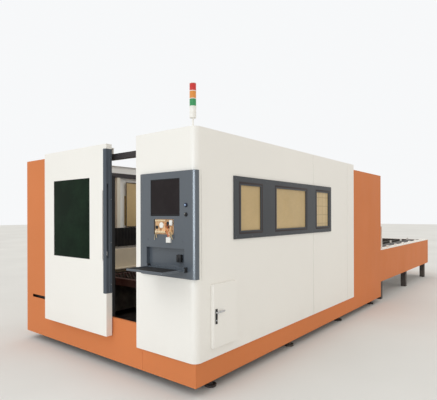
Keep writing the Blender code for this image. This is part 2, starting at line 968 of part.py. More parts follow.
def cutting_head():
    middle = head_middle()
    item = block("cutting_head", (-head_half, head_half), (middle - head_depth / 2, middle + head_depth / 2),
                 (head_low, head_low + head_height), slate())
    soften(item, sheet * 2)
    return item


def nozzle():
    middle = head_middle()
    top = head_low - seam
    profile = [(0.0, top), (nozzle_radius, top), (nozzle_radius, top - nozzle_length / 3),
               (nozzle_radius * 2 / 3, top - nozzle_length / 2), (nozzle_tip, top - nozzle_length),
               (0.0, top - nozzle_length)]
    return turned("nozzle", (0.0, middle, 0.0), profile, material("copper", (0.72, 0.38, 0.22), 0.3, 1.0))


def rear_gate():
    side = portal_half - guide_bar - seam * 2
    back = cabin_length - sheet - seam * 2
    span = (back - gate_thick, back - gate_thick + sheet * 2)
    item = block("rear_gate", (-side, side), span, (gate_low, gate_low + gate_height), slate())
    for index, share in enumerate(gate_rib_shares):
        middle = gate_low + share * gate_height
        join(item, block(f"gate_rib_{index}", (-side + overrun, side - overrun), (span[1] - sheet, span[1] + gate_rib),
                         (middle - gate_rib, middle + gate_rib)))
    return item


# Sliding door

def door_leaf():
    outline = box_outline((door_left, door_right), (door_low, door_high))
    item = soften(plate("door_leaf", outline, (door_front, door_back), "Y", white()), door_edge)
    light = glass_outline()
    cut(item, plate("glass_pocket", light, (door_front - overrun, door_front + glass_pocket), "Y"))
    cut(item, plate("glass_light", inset(light, glass_ledge), (door_front - overrun, door_back + overrun), "Y"))
    rim = inset(outline, door_rim)
    rim = [(min(x, grip_left - door_rim), z) for x, z in rim]
    cut(item, plate("door_hollow", rim, (door_front + glass_pocket + glass_ledge, door_back + overrun), "Y",
                    holes=[inset(light, -door_rim / 2)]))
    cut(item, block("grip_seat", (grip_left - seam, door_right + overrun), (door_front - overrun, door_back + overrun),
                    (floor_gap + grip_low_height - seam, floor_gap + grip_high_height + seam)))
    middle = (door_left + door_right) / 2
    arm = orange_top + hanger_clearance
    roll = header_high + seam * 2 + hanger_wheel
    for tag, hand in (("left", -1), ("right", 1)):
        centre = middle + hand * hanger_share * door_width
        across = (centre - hanger_width / 2, centre + hanger_width / 2)
        join(item, block(f"hanger_{tag}", across, (door_back - sheet, hanger_reach), (arm, arm + hanger_thick)))
        drop = hanger_reach - hanger_thick
        join(item, block(f"hanger_drop_{tag}", (across[0] + sheet, across[1] - sheet), (drop, hanger_reach - sheet / 3),
                         (roll - hanger_wheel / 2, arm + sheet)))
        join(item, cylinder(f"hanger_wheel_{tag}", (centre, 0.0, roll), hanger_wheel,
                            (drop + sheet - hanger_wheel_width, drop + sheet), "Y", steps=12))
    join(item, block("pull_strip", (grip_left - pull_gap - pull_width, grip_left - pull_gap),
                     (door_front - pull_proud, door_front + sheet),
                     (floor_gap + pull_low_height, floor_gap + pull_high_height)))
    pin = half_width - foot_pin_from_corner
    height = floor_gap + (slot_low_height + slot_high_height) / 2
    return join(item, cylinder("door_foot_pin", (pin, 0.0, height), foot_pin_radius,
                               (door_back - door_rim, foot_pin_reach), "Y", steps=12))


def glass_outline():
    left = half_width - glass_left_from_corner
    return box_outline((left, left + glass_width), (floor_gap + glass_low_height, floor_gap + glass_high_height))


def door_glass():
    back = door_front + glass_pocket - seam
    return plate("door_glass", inset(glass_outline(), seam), (back - glass_thick, back), "Y", glass())


def door_grip():
    low, high = floor_gap + grip_low_height, floor_gap + grip_high_height
    front, back = door_front - grip_proud, door_back
    near, step = door_right - grip_step, front + grip_step_from_front
    section = [(grip_left, front), (near - grip_chamfer, front), (near, front + grip_chamfer), (near, step),
               (door_right, step + grip_step), (door_right, back), (grip_left, back)]
    item = plate("door_grip", section, (low, high), "Z", slate())
    start = front + grip_slot_from_front
    return cut(item, block("grip_slot", (near - grip_slot_depth, door_right + overrun), (start, start + grip_slot_width),
                           (floor_gap + grip_slot_low_height, floor_gap + grip_slot_high_height)))


# Console and its controls

def console_box_span():
    return ((console_left + box_margin, control_x + cap_radius + box_margin / 2),
            (console_low + box_margin, console_high - box_margin))


def console_housing():
    side, reach = shell_out + console_thick, column_radius + seam
    outer = [(console_left, -shell_proud - console_lip), (console_left + console_bevel, console_front)]
    outer += arc((side - console_radius, console_front + console_radius), console_radius, -90, 0, 6)
    outer += [(side, console_side)]
    turn = degrees(asin((console_side - column_radius + shell_proud) / reach))
    inner = [(console_left, -shell_proud - seam)]
    inner += arc((shell_out - column_radius, column_radius - shell_proud), reach, -90, turn, 6)
    item = plate("console_housing", outer + list(reversed(inner)), (console_low, console_high), "Z", slate())
    soften(item, console_edge)
    across, upright = console_box_span()
    join(item, block("console_box", across, (-shell_proud - sheet, console_box_depth - shell_proud), upright))
    front = console_front - overrun
    cut(item, block("monitor_pocket", (monitor_right - monitor_width - seam, monitor_right + seam),
                    (front, console_front + monitor_sink + monitor_thick + seam),
                    (monitor_low - seam, monitor_low + monitor_height + seam)))
    cut(item, block("board_pocket", (board_right - board_width, board_right), (front, console_front + board_pocket),
                    (board_low, board_low + board_height)))
    cut(item, block("keyboard_bay", (bay_right - bay_width, bay_right), (front, console_front + bay_depth),
                    (bay_low, bay_low + bay_height)))
    for tag, height in (("button", button_z), ("switch", switch_z)):
        cut(item, cylinder(f"{tag}_hole", (control_x, 0.0, height), cap_radius + seam,
                           (front, console_front + cap_sink + cap_proud), "Y"))
    for tag, start in (("left", tray_right - tray_width - seam - ear), ("right", tray_right + seam)):
        join(item, block(f"tray_ear_{tag}", (start, start + ear), (tray_axis_y - ear_half, console_front + sheet),
                         (tray_axis_high - ear_half, tray_axis_high + ear_half)))
    return item


def monitor():
    right, low = monitor_right, monitor_low
    front = console_front + monitor_sink
    item = block("monitor", (right - monitor_width, right), (front, front + monitor_thick),
                 (low, low + monitor_height), black())
    return cut(item, block("screen_recess", (right - monitor_width + monitor_bezel, right - monitor_bezel),
                           (front - overrun, front + sheet), (low + monitor_bezel, low + monitor_height - monitor_bezel)))


def control_board():
    back = console_front + board_pocket - seam
    left = board_right - board_width + seam
    item = block("control_board", (left, board_right - seam), (back - board_lift, back - board_lift + board_thick),
                 (board_low + seam, board_low + board_height - seam), material("board_tan", (0.62, 0.38, 0.18), 0.6))
    join(item, block("board_rail", (left + overrun, board_right - overrun), (back - board_lift + sheet, back),
                     (board_low + board_height / 3, board_low + board_height * 2 / 3)))
    for index, (across, tall) in enumerate(zip(chip_width_shares, chip_height_shares)):
        start = left + across * board_width
        base = board_low + chip_share * board_height
        join(item, block(f"terminal_{index}", (start, start + chip_share * board_width),
                         (back - board_lift * 2, back - board_lift + sheet / 2), (base, base + tall * board_height)))
    return item


def loose_connector():
    """The plug that hangs out of the cut-out on its short flat lead."""
    middle = half_width - connector_from_corner
    height = floor_gap + connector_height
    back = console_front - seam
    item = block("loose_connector", (middle - connector_width / 2, middle + connector_width / 2),
                 (back - connector_thick, back), (height - connector_tall / 2, height + connector_tall / 2), white())
    lead = block("lead", (middle - lead_width / 2, middle + lead_width / 2), (back - lead_thick, back),
                 (height, board_low + lead_width))
    inside = console_front + board_pocket - board_lift - seam * 2
    turn = block("lead_turn", (middle - lead_width / 2, middle + lead_width / 2), (back - lead_thick, inside),
                 (board_low + lead_width - lead_thick, board_low + lead_width))
    return join(item, lead, turn)


def start_button():
    pivot = (control_x, console_front, button_z)
    item = cylinder("start_button", pivot, cap_radius, (-cap_proud, cap_sink / 2), "Y",
                    material("button_blue", (0.05, 0.12, 0.45), 0.35))
    return hang(item, empty("start_button_axis", pivot, machine), pivot)


def mode_switch():
    pivot = (control_x, console_front, switch_z)
    item = cylinder("mode_switch", pivot, cap_radius, (-cap_proud / 2, cap_sink), "Y", black())
    ridge = block("switch_ridge", (control_x - switch_ridge / 2, control_x + switch_ridge / 2),
                  (console_front - cap_proud / 2 - switch_ridge_proud, console_front),
                  (switch_z - cap_radius * 4 / 5, switch_z + cap_radius * 4 / 5))
    join(item, ridge)
    return hang(item, empty("mode_switch_axis", pivot, machine), pivot)


def keyboard_tray():
    pivot = (tray_right - tray_width / 2, tray_axis_y, tray_axis_high)
    back = tray_axis_y + tray_behind_axis
    span = (back - tray_depth, back)
    low, high = tray_axis_high - tray_thick / 2, tray_axis_high + tray_thick / 2
    item = block("keyboard_tray", (tray_right - tray_width, tray_right), span, (low, high), slate())
    soften(item, sheet)
    cut(item, block("tray_pan", (tray_right - tray_width + tray_rim, tray_right - tray_rim),
                    (span[0] + tray_rim, span[1] - tray_rim * 3), (high - tray_sink, high + overrun)))
    return hang(item, empty("keyboard_tray_axis", pivot, machine), pivot)


# Electrical cabinet, hatch and lever

def electrical_cabinet():
    right = wall_inside - seam
    across, along_y, upright = (cabinet_left, right), (cabinet_start, cabinet_end), (base_high + seam, cabinet_high)
    item = block("electrical_cabinet", across, along_y, upright, material("cabinet_grey", (0.55, 0.56, 0.55), 0.5))
    inner = (across[0] + cabinet_wall, right + overrun)
    cut(item, block("cabinet_space", inner, (hatch_start + hatch_margin, hatch_end - hatch_margin),
                    (hatch_low + hatch_margin, hatch_high - hatch_margin)))
    plate_x = across[0] + cabinet_wall
    for index, share in enumerate(device_shares):
        start = hatch_start + hatch_margin + share * (hatch_end - hatch_start - 2 * hatch_margin)
        join(item, block(f"device_{index}", (plate_x - sheet, plate_x + device_depth), (start, start + device_depth),
                         (hatch_low + 4 * hatch_margin, hatch_low + 4 * hatch_margin + 3 * device_depth)))
    return item


def hinge_axis():
    return (shell_out + hinge_axis_out, hatch_end + hinge_axis_back)


def knuckle_lows():
    height = hatch_high - hatch_low
    return [hatch_low + share * height for share in knuckle_shares]


def knuckle(name, low, side):
    """A hinge knuckle and its leaf, on the door (side -1) or on the wall behind it (side 1)."""
    axis = hinge_axis()
    barrel = cylinder(name, (axis[0], axis[1], 0.0), knuckle_radius, (low, low + knuckle_length), "Z", steps=12)
    if side < 0:
        across = (axis[0] - knuckle_radius / 2, axis[0] + knuckle_radius / 2)
        leaf = block(name + "_leaf", across, (hatch_end - sheet, axis[1]), (low + sheet, low + knuckle_length - sheet))
    else:
        leaf = block(name + "_leaf", (shell_out - sheet / 2, axis[0]), (axis[1] - sheet / 2, axis[1] + knuckle_radius),
                     (low + sheet, low + knuckle_length - sheet))
    return leaf, barrel


def cabinet_door():
    axis = hinge_axis()
    pivot = (axis[0], axis[1], hatch_low)
    low_face = shell_out + seam
    item = block("cabinet_door", (low_face, hatch_face), (hatch_start, hatch_end), (hatch_low, hatch_high), white())
    soften(item, sheet)
    cut(item, block("cabinet_door_hollow", (low_face - overrun, hatch_face - sheet * 2),
                    (hatch_start + hatch_margin, hatch_end - hatch_margin),
                    (hatch_low + hatch_margin, hatch_high - hatch_margin)))
    for tag, low in zip(("low", "high"), knuckle_lows()):
        join(item, *knuckle(f"door_knuckle_{tag}", low, -1))
    holder = empty("cabinet_door_axis", pivot, machine)
    hang(item, holder, pivot)
    plate_item = soften(block("handle_plate", (hatch_face + seam, hatch_face + lever_plate_thick),
                              (lever_plate_start, lever_plate_start + lever_plate_width),
                              (floor_gap + lever_plate_low_height, floor_gap + lever_plate_high_height), black()),
                        sheet / 2)
    hang(plate_item, holder, pivot)
    lever_pivot = Vector((hatch_face + lever_plate_thick, lever_y, lever_z))
    lever_holder = empty("cabinet_lever_axis", lever_pivot - Vector(pivot), holder)
    return hang(cabinet_lever(), lever_holder, lever_pivot)


def cabinet_lever():
    low = hatch_face + lever_plate_thick + seam
    centre = (0.0, lever_y, lever_z)
    item = cylinder("cabinet_lever", centre, lever_boss, (low, low + lever_thick), "X", steel())
    return join(item, block("lever_bar", (low + lever_thick / 3, low + lever_thick - sheet / 3), (lever_y, lever_y + lever_reach),
                            (lever_z - lever_bar / 2, lever_z + lever_bar / 2)))


# Signal mast

def signal_tower():
    centre = (shell_out - mast_inset, mast_setback - shell_proud, 0.0)
    foot = shell_top + seam
    base = foot + mast_height
    top = base + signal_base
    profile = [(0.0, top), (signal_radius, top), (signal_radius, base), (mast_radius, base),
               (mast_radius, foot + signal_neck_height), (mast_radius * 2, foot + signal_neck_height),
               (mast_radius * 2, foot), (0.0, foot)]
    turned("signal_mast", centre, profile, white())
    lenses = (("signal_green", (0.02, 0.45, 0.20)), ("signal_amber", (0.95, 0.45, 0.03)), ("signal_red", (0.80, 0.03, 0.03)))
    for name, colour in lenses:
        low = top + seam
        top = low + lens_height
        shoulder = signal_radius - signal_neck
        profile = [(0.0, top), (shoulder, top), (shoulder, top - signal_neck_height),
                   (signal_radius, top - signal_neck_height), (signal_radius, low), (0.0, low)]
        turned(name, centre, profile, material(name, colour, 0.25))


# Assembly

def moving(name, pivot, *items):
    holder = empty(name + "_axis", pivot, machine)
    for item in items:
        hang(item, holder, pivot)
    return holder


def build_machine():
    base_frame()
    for tag, hand in (("right", 1), ("left", -1)):
        bed_side(f"bed_side_{tag}", hand)
        y_rail(f"y_rail_{tag}", hand)
        rail_guard(f"rail_guard_{tag}", hand)
        side_panel(f"{tag}_panel", hand, 0.0 if hand > 0 else left_corner)
        table_panel_side(f"table_panel_{tag}", hand)
        table_strip(f"table_strip_{tag}", hand)
    side_frame("side_frame_right", 1, cabinet_end + seam, post_places_right)
    side_frame("side_frame_left", -1, panel_depth + seam, post_places_left)
    header_beam()
    front_panel()
    rear_portal()
    column_shell()
    right_wall_front()
    wall("right_wall_rear", 1, (wall_seam_right + seam, wall_length), window_start_right)
    wall("left_wall_front", -1, (left_corner + seam, wall_seam_left), window_start_left)
    wall("left_wall_rear", -1, (wall_seam_left + seam, wall_length), window_start_left)
    for tag, hand, start in (("right", 1, window_start_right), ("left", -1, window_start_left)):
        window_frame(f"window_frame_{tag}", hand, start)
        for place, span in zip(("front", "middle", "rear"), pane_spans(start)):
            pane(f"{tag}_pane_{place}", hand, span)
    table_frame()
    table_panel_end()
    guard_post()
    console_housing()
    monitor()
    control_board()
    loose_connector()
    electrical_cabinet()
    signal_tower()


def build_moving_pieces():
    pallet("upper_pallet", 0.0)
    pallet("lower_pallet", pallet_step)
    moving("front_door", (door_right, door_front, door_low), door_leaf(), door_glass(), door_grip())
    gantry = moving("gantry", (0.0, gantry_place, gantry_low), gantry_beam())
    front = carriage_front()
    carriage_place = Vector((0.0, front, carriage_low))
    slide = empty("carriage_axis", carriage_place - Vector((0.0, gantry_place, gantry_low)), gantry)
    hang(carriage(), slide, carriage_place)
    hang(head_drive(), slide, carriage_place)
    head_place = Vector((0.0, head_middle(), head_low))
    head = empty("cutting_head_axis", head_place - carriage_place, slide)
    hang(cutting_head(), head, head_place)
    tip = hang(nozzle(), head, head_place)
    tip.location += Vector((0.0, head_middle(), 0.0))
    moving("rear_gate", (0.0, cabin_length, gate_low), rear_gate())
    start_button()
    mode_switch()
    keyboard_tray()
    cabinet_door()


def carry_everything():
    """Parent what still stands alone to the empty that centres the machine."""
    for item in list(pieces.objects) + list(guides.objects):
        if item.parent is None and item is not machine:
            item.parent = machine


clear_scene()
machine = empty("machine", (machine_x, machine_y, 0.0))
build_machine()
build_moving_pieces()
carry_everything()
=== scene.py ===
from math import cos, pi, radians, sin

import bmesh
import bpy
from mathutils import Matrix, Vector


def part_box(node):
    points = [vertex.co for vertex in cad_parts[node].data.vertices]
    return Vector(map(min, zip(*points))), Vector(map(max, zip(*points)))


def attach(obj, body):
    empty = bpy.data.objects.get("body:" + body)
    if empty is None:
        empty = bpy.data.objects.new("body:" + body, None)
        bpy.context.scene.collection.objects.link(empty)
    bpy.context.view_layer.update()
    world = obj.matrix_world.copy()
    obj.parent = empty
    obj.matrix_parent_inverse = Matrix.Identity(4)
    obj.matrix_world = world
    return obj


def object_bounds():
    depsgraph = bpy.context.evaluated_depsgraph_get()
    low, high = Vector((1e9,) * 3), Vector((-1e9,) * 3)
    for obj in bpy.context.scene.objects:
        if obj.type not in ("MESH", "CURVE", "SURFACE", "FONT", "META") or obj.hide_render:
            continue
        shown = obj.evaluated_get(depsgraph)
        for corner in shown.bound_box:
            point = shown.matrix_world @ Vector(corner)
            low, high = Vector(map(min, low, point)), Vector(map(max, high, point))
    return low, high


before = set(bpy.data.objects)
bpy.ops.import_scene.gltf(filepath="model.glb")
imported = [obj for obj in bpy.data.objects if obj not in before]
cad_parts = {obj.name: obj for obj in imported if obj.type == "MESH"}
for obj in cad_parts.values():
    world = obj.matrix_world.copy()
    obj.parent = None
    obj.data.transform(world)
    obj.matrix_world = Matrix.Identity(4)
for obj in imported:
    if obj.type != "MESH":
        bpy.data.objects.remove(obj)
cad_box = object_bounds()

bl_info = {
    "name": "Laser cutting machine finish",
    "version": (1, 0, 0),
    "blender": (4, 5, 0),
    "location": "View3D > Sidebar > Laser Cutter",
    "description": "Dresses the cutting machine's frame with coats, glass, wiring and small hardware",
    "category": "Object",
}

GAP = 0.0004  # between an added piece and the face that it lies on
SIDES = (("right", 1.0), ("left", -1.0))
HANDS = (-1.0, 1.0)

# Anchors read from the frame
FRONT_LOW, FRONT_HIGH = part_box("front_panel")
SHELL_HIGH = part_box("column_shell")[1]
LEAF_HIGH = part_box("door_leaf")[1]
GRIP_LOW, GRIP_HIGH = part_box("door_grip")
PANE_LOW, PANE_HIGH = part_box("door_glass")
CONSOLE_LOW, CONSOLE_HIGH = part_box("console_housing")
MONITOR_LOW, MONITOR_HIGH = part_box("monitor")
BOARD_LOW, BOARD_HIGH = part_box("control_board")
TRAY_LOW, TRAY_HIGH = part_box("keyboard_tray")
LEVER_LOW, LEVER_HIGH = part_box("cabinet_lever")
BEAM_LOW, BEAM_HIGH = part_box("gantry_beam")
DRIVE_LOW, DRIVE_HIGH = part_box("head_drive")
HEAD_LOW, HEAD_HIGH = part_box("cutting_head")
BASE_LOW, BASE_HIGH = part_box("base_frame")
CONSOLE_PROUD = 0.035
CONSOLE_FACE = FRONT_LOW.y - CONSOLE_PROUD
CORNER = Vector((FRONT_HIGH.x, FRONT_LOW.y, FRONT_LOW.z))
MIDDLE_X = (FRONT_LOW.x + FRONT_HIGH.x) / 2
FLOOR_Z = cad_box[0][2]
SIDE_BEAM_DEPTH = 0.064
SIDE_BEAM_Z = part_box("side_frame_left")[1].z - SIDE_BEAM_DEPTH
BED_LEDGE = 0.105
BED_INNER_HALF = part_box("bed_side_right")[0].x - MIDDLE_X + BED_LEDGE
ROLLER_PROUD = 0.030
STRIP_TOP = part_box("table_strip_right")[1].z - ROLLER_PROUD


def spot(across, behind, above):
    """A place from the middle of the front's plane, at floor level."""
    return Vector((MIDDLE_X + across, FRONT_LOW.y + behind, FLOOR_Z + above))


def layer(face, sign, near, far):
    """The lower and the higher place of a layer, from its two distances outward of a face."""
    return sorted((face + sign * near, face + sign * far))


def spread(low, high, count):
    """Evenly spaced places from low to high."""
    return [low + (high - low) * index / (count - 1) for index in range(count)]


def srgb(red, green, blue):
    """A colour as it is seen, from 0 to 255, as linear light."""
    def linear(value):
        value = value / 255
        return value / 12.92 if value <= 0.04045 else ((value + 0.055) / 1.055) ** 2.4
    return (linear(red), linear(green), linear(blue))


# Properties that a user would change

def colour_setting(name, description, default):
    return bpy.props.FloatVectorProperty(name=name, description=description, subtype="COLOR", size=3,
                                         min=0.0, max=1.0, default=default)


def light_setting(name, description, default, high=1000.0):
    return bpy.props.FloatProperty(name=name, description=description, default=default, min=0.0, max=high)


class CoatColours(bpy.types.PropertyGroup):
    orange: colour_setting("Orange", "Powder coat of skirt, rear section and table", srgb(215, 131, 82))
    white: colour_setting("White", "Powder coat of column, walls and sliding door", srgb(243, 241, 236))
    slate: colour_setting("Slate", "Dark coat of console and keyboard tray", srgb(83, 91, 100))
    film: colour_setting("Film", "Protective film on the side windows", srgb(196, 170, 122))


class FinishSizes(bpy.types.PropertyGroup):
    edge_radius: bpy.props.FloatProperty(
        name="Edge radius", description="Rounding of folded sheet edges", default=0.0025, min=0.0005,
        max=0.01, unit="LENGTH")
    slat_pitch_share: bpy.props.FloatProperty(
        name="Slat pitch share", description="Place of the added slats between two solid ones", default=0.5,
        min=0.2, max=0.8)


class StageSettings(bpy.types.PropertyGroup):
    azimuth: bpy.props.FloatProperty(
        name="Azimuth", description="Direction in which the camera looks", default=radians(38.645),
        subtype="ANGLE")
    eye_height: bpy.props.FloatProperty(
        name="Eye height", description="Camera height above the skirt's lower edge", default=1.4578,
        unit="LENGTH")
    lens: bpy.props.FloatProperty(
        name="Lens", description="Focal length in millimetres", default=33.76, min=10.0, max=200.0)
    world_strength: light_setting("World light", "Strength of the even light from all round", 0.9, 2.0)
    sun_strength: light_setting("Soft key", "Strength of the soft key light", 0.4, 10.0)
    softbox_power: light_setting("Softbox", "Power of the wide light in front", 58.0)
    edge_light_power: light_setting("Edge light", "Power of the light in the console corner's sheen", 430.0)
    cabin_light_power: light_setting("Cabin light", "Power of the light under the open cabin roof", 7.0)


# Shader building

class Graph:
    """Adds nodes to a tree; an input is a constant or another node's output."""

    def __init__(self, tree):
        self.tree = tree

    def feed(self, socket, value):
        """Link an output to a socket, or set the socket to a constant."""
        if isinstance(value, bpy.types.NodeSocket):
            self.tree.links.new(value, socket)
        elif socket.type == "RGBA":
            socket.default_value = (*value, 1.0)[:4]
        else:
            socket.default_value = value

    def fill(self, node, inputs):
        for name, value in inputs.items():
            self.feed(node.inputs[name], value)

    def add(self, kind, inputs=None, **settings):
        node = self.tree.nodes.new(kind)
        for name, value in settings.items():
            setattr(node, name, value)
        self.fill(node, inputs or {})
        return node

    def place(self):
        return self.add("ShaderNodeTexCoord").outputs["Object"]

    def axes(self, place):
        return self.add("ShaderNodeSeparateXYZ", {"Vector": place}).outputs

    def stretch(self, place, scale):
        return self.add("ShaderNodeMapping", {"Vector": place, "Scale": scale}).outputs[0]

    def math(self, operation, *values):
        return self.add("ShaderNodeMath", dict(enumerate(values)), operation=operation).outputs[0]

    def blend(self, share, first, second):
        """Mix two colours; the sockets of the colour kind of mix are 0, 6 and 7."""
        return self.add("ShaderNodeMix", {0: share, 6: first, 7: second}, data_type="RGBA").outputs[2]

    def noise(self, place, scale, detail=3.0, roughness=0.5):
        return self.add("ShaderNodeTexNoise", {"Vector": place, "Scale": scale, "Detail": detail,
                                               "Roughness": roughness}).outputs["Fac"]

    def band(self, value, low, high, first=0.0, last=1.0):
        return self.add("ShaderNodeMapRange", {"Value": value, "From Min": low, "From Max": high,
                                               "To Min": first, "To Max": last}, clamp=True).outputs["Result"]

    def bump(self, height, strength, distance):
        return self.add("ShaderNodeBump", {"Height": height, "Strength": strength,
                                           "Distance": distance}).outputs[0]


def group_tree(name, inputs, outputs):
    """An empty node group; inputs give each socket's default, outputs each socket's kind."""
    tree = bpy.data.node_groups.new(name, "ShaderNodeTree")
    for label, default in inputs.items():
        kind = "Float" if isinstance(default, float) else {3: "Vector", 4: "Color"}[len(default)]
        socket = tree.interface.new_socket(name=label, in_out="INPUT", socket_type=f"NodeSocket{kind}")
        socket.default_value = default
    for label, kind in outputs.items():
        tree.interface.new_socket(name=label, in_out="OUTPUT", socket_type=f"NodeSocket{kind}")
    entry, leave = tree.nodes.new("NodeGroupInput"), tree.nodes.new("NodeGroupOutput")
    return Graph(tree), entry.outputs, leave.inputs


def powder_coat_group():
    """Orange-peel grain, slow tone drift, wiped smears and floor dust of a powder-coated sheet."""
    graph, given, out = group_tree(
        "Powder coat",
        {"Colour": (0.8, 0.8, 0.8, 1.0), "Roughness": 0.4, "Grain scale": 260.0, "Grain depth": 0.05,
         "Tone drift": 0.05, "Dust": 0.3, "Dust height": 0.5},
        {"Colour": "Color", "Roughness": "Float", "Normal": "Vector"})
    place = graph.place()
    drift = graph.band(graph.noise(place, 0.9, 2.0), 0.3, 0.7, -1.0, 1.0)
    tone = graph.math("MULTIPLY_ADD", drift, given["Tone drift"], 1.0)
    toned = graph.add("ShaderNodeVectorMath", {0: given["Colour"], "Scale": tone}, operation="SCALE")
    height_share = graph.math("DIVIDE", graph.axes(place)["Z"], given["Dust height"])
    near_floor = graph.band(graph.math("SUBTRACT", 1.0, height_share), 0.0, 1.0)
    patch = graph.band(graph.noise(place, 7.0, 5.0, 0.65), 0.35, 0.75)
    dust = graph.math("MULTIPLY", graph.math("MULTIPLY", near_floor, patch), given["Dust"])
    graph.feed(out["Colour"], graph.blend(dust, toned.outputs[0], srgb(150, 140, 124)))
    wiped = graph.stretch(place, (1.0, 1.0, 0.35))
    smear = graph.band(graph.noise(wiped, 3.5, 6.0, 0.6), 0.25, 0.75, -0.06, 0.09)
    smeared = graph.math("ADD", given["Roughness"], smear)
    graph.feed(out["Roughness"], graph.math("ADD", smeared, graph.math("MULTIPLY", dust, 0.5)))
    grain = graph.noise(place, given["Grain scale"], 2.0)
    graph.feed(out["Normal"], graph.bump(grain, given["Grain depth"], 0.002))
    return graph.tree


def edge_wear_group():
    """A mask of handled edges: where a rounded normal departs from the face's own, broken up by noise."""
    graph, given, out = group_tree("Edge wear", {"Radius": 0.004, "Amount": 0.5}, {"Mask": "Float"})
    rounded = graph.add("ShaderNodeBevel", {"Radius": given["Radius"]}, samples=4)
    flat = graph.add("ShaderNodeNewGeometry").outputs["Normal"]
    alike = graph.add("ShaderNodeVectorMath", {0: rounded.outputs[0], 1: flat}, operation="DOT_PRODUCT")
    edge = graph.band(graph.math("SUBTRACT", 1.0, alike.outputs["Value"]), 0.03, 0.25)
    broken = graph.band(graph.noise(graph.place(), 38.0, 4.0, 0.6), 0.4, 0.62)
    graph.feed(out["Mask"], graph.math("MULTIPLY", graph.math("MULTIPLY", edge, broken), given["Amount"]))
    return graph.tree


def brushed_group():
    """Fine lines along one direction of a ground or brushed metal."""
    graph, given, out = group_tree(
        "Brushed metal", {"Stretch": (1.0, 0.02, 1.0), "Scale": 500.0, "Roughness": 0.35},
        {"Mask": "Float", "Roughness": "Float", "Normal": "Vector"})
    lines = graph.noise(graph.stretch(graph.place(), given["Stretch"]), given["Scale"], 4.0)
    graph.feed(out["Mask"], graph.band(lines, 0.3, 0.7))
    graph.feed(out["Roughness"], graph.math("ADD", given["Roughness"],
                                            graph.band(lines, 0.3, 0.7, -0.08, 0.12)))
    graph.feed(out["Normal"], graph.bump(lines, 0.15, 0.0005))
    return graph.tree


def smudge_group():
    """Finger marks and wiped haze on glass, screens and film."""
    graph, given, out = group_tree("Smudges", {"Scale": 6.0, "Roughness": 0.08, "Amount": 0.2},
                                   {"Mask": "Float", "Roughness": "Float"})
    mask = graph.band(graph.noise(graph.place(), given["Scale"], 6.0, 0.7), 0.42, 0.72)
    graph.feed(out["Mask"], mask)
    graph.feed(out["Roughness"], graph.math("MULTIPLY_ADD", mask, given["Amount"], given["Roughness"]))
    return graph.tree


GROUPS = {}


def use_group(graph, maker, **values):
    """Place a shared group, built once; a value's name is its socket's, with spaces as underscores."""
    if maker not in GROUPS:
        GROUPS[maker] = maker()
    inputs = {label.replace("_", " "): value for label, value in values.items()}
    return graph.add("ShaderNodeGroup", inputs, node_tree=GROUPS[maker]).outputs


def new_material(name):
    """An empty material with its graph and its shader."""
    material = bpy.data.materials.new(name)
    material.use_nodes = True
    material.node_tree.nodes.clear()
    graph = Graph(material.node_tree)
    shader = graph.add("ShaderNodeBsdfPrincipled")
    graph.add("ShaderNodeOutputMaterial", {"Surface": shader.outputs[0]})
    return material, graph, shader


def shaded(colour, factor):
    return tuple(value * factor for value in colour)


def coated(name, colour, roughness, grain, drift, dust, dust_height, bare, wear, clear=0.0, specular=0.3,
           below=None, level=0.0):
    """A powder-coated sheet with worn edges; below a level it can have another colour, which on the bed sides
    is painted shade.
    """
    material, graph, shader = new_material(name)
    # On the bed sides the colour below the level is painted shade under the pallets; on the side frames it is
    # their two-tone coat.
    if below:
        step = 0.001
        colour = graph.blend(graph.band(graph.axes(graph.place())["Z"], level - step, level + step),
                             below, colour)
    coat = use_group(graph, powder_coat_group, Colour=colour, Roughness=roughness, Grain_depth=grain,
                     Tone_drift=drift, Dust=dust, Dust_height=dust_height)
    worn = use_group(graph, edge_wear_group, Radius=0.003, Amount=wear)["Mask"]
    graph.fill(shader, {
        "Base Color": graph.blend(worn, coat["Colour"], srgb(*bare)), "Roughness": coat["Roughness"],
        "Normal": coat["Normal"], "Coat Weight": clear, "Coat Roughness": 0.22,
        "Specular IOR Level": specular})
    return material


def metal(name, colour, roughness, stretch, scale):
    """Ground, drawn or plated metal with its fine lines."""
    material, graph, shader = new_material(name)
    lines = use_group(graph, brushed_group, Stretch=stretch, Scale=scale, Roughness=roughness)
    graph.fill(shader, {
        "Base Color": graph.blend(lines["Mask"], shaded(colour, 0.72), colour),
        "Roughness": lines["Roughness"], "Normal": lines["Normal"], "Metallic": 1.0})
    return material


def plastic(name, colour, roughness, amount, scale, coat=0.0, specular=0.4):
    """Moulded plastic with a fine texture and handling marks."""
    material, graph, shader = new_material(name)
    marks = use_group(graph, smudge_group, Scale=scale, Roughness=roughness, Amount=amount)
    light = tuple(min(1.0, value + 0.004) for value in shaded(colour, 1.12))
    graph.fill(shader, {
        "Base Color": graph.blend(marks["Mask"], colour, light), "Roughness": marks["Roughness"],
        "Normal": graph.bump(graph.noise(graph.place(), 900.0, 2.0), 0.08, 0.0005),
        "Coat Weight": coat, "Specular IOR Level": specular})
    return material


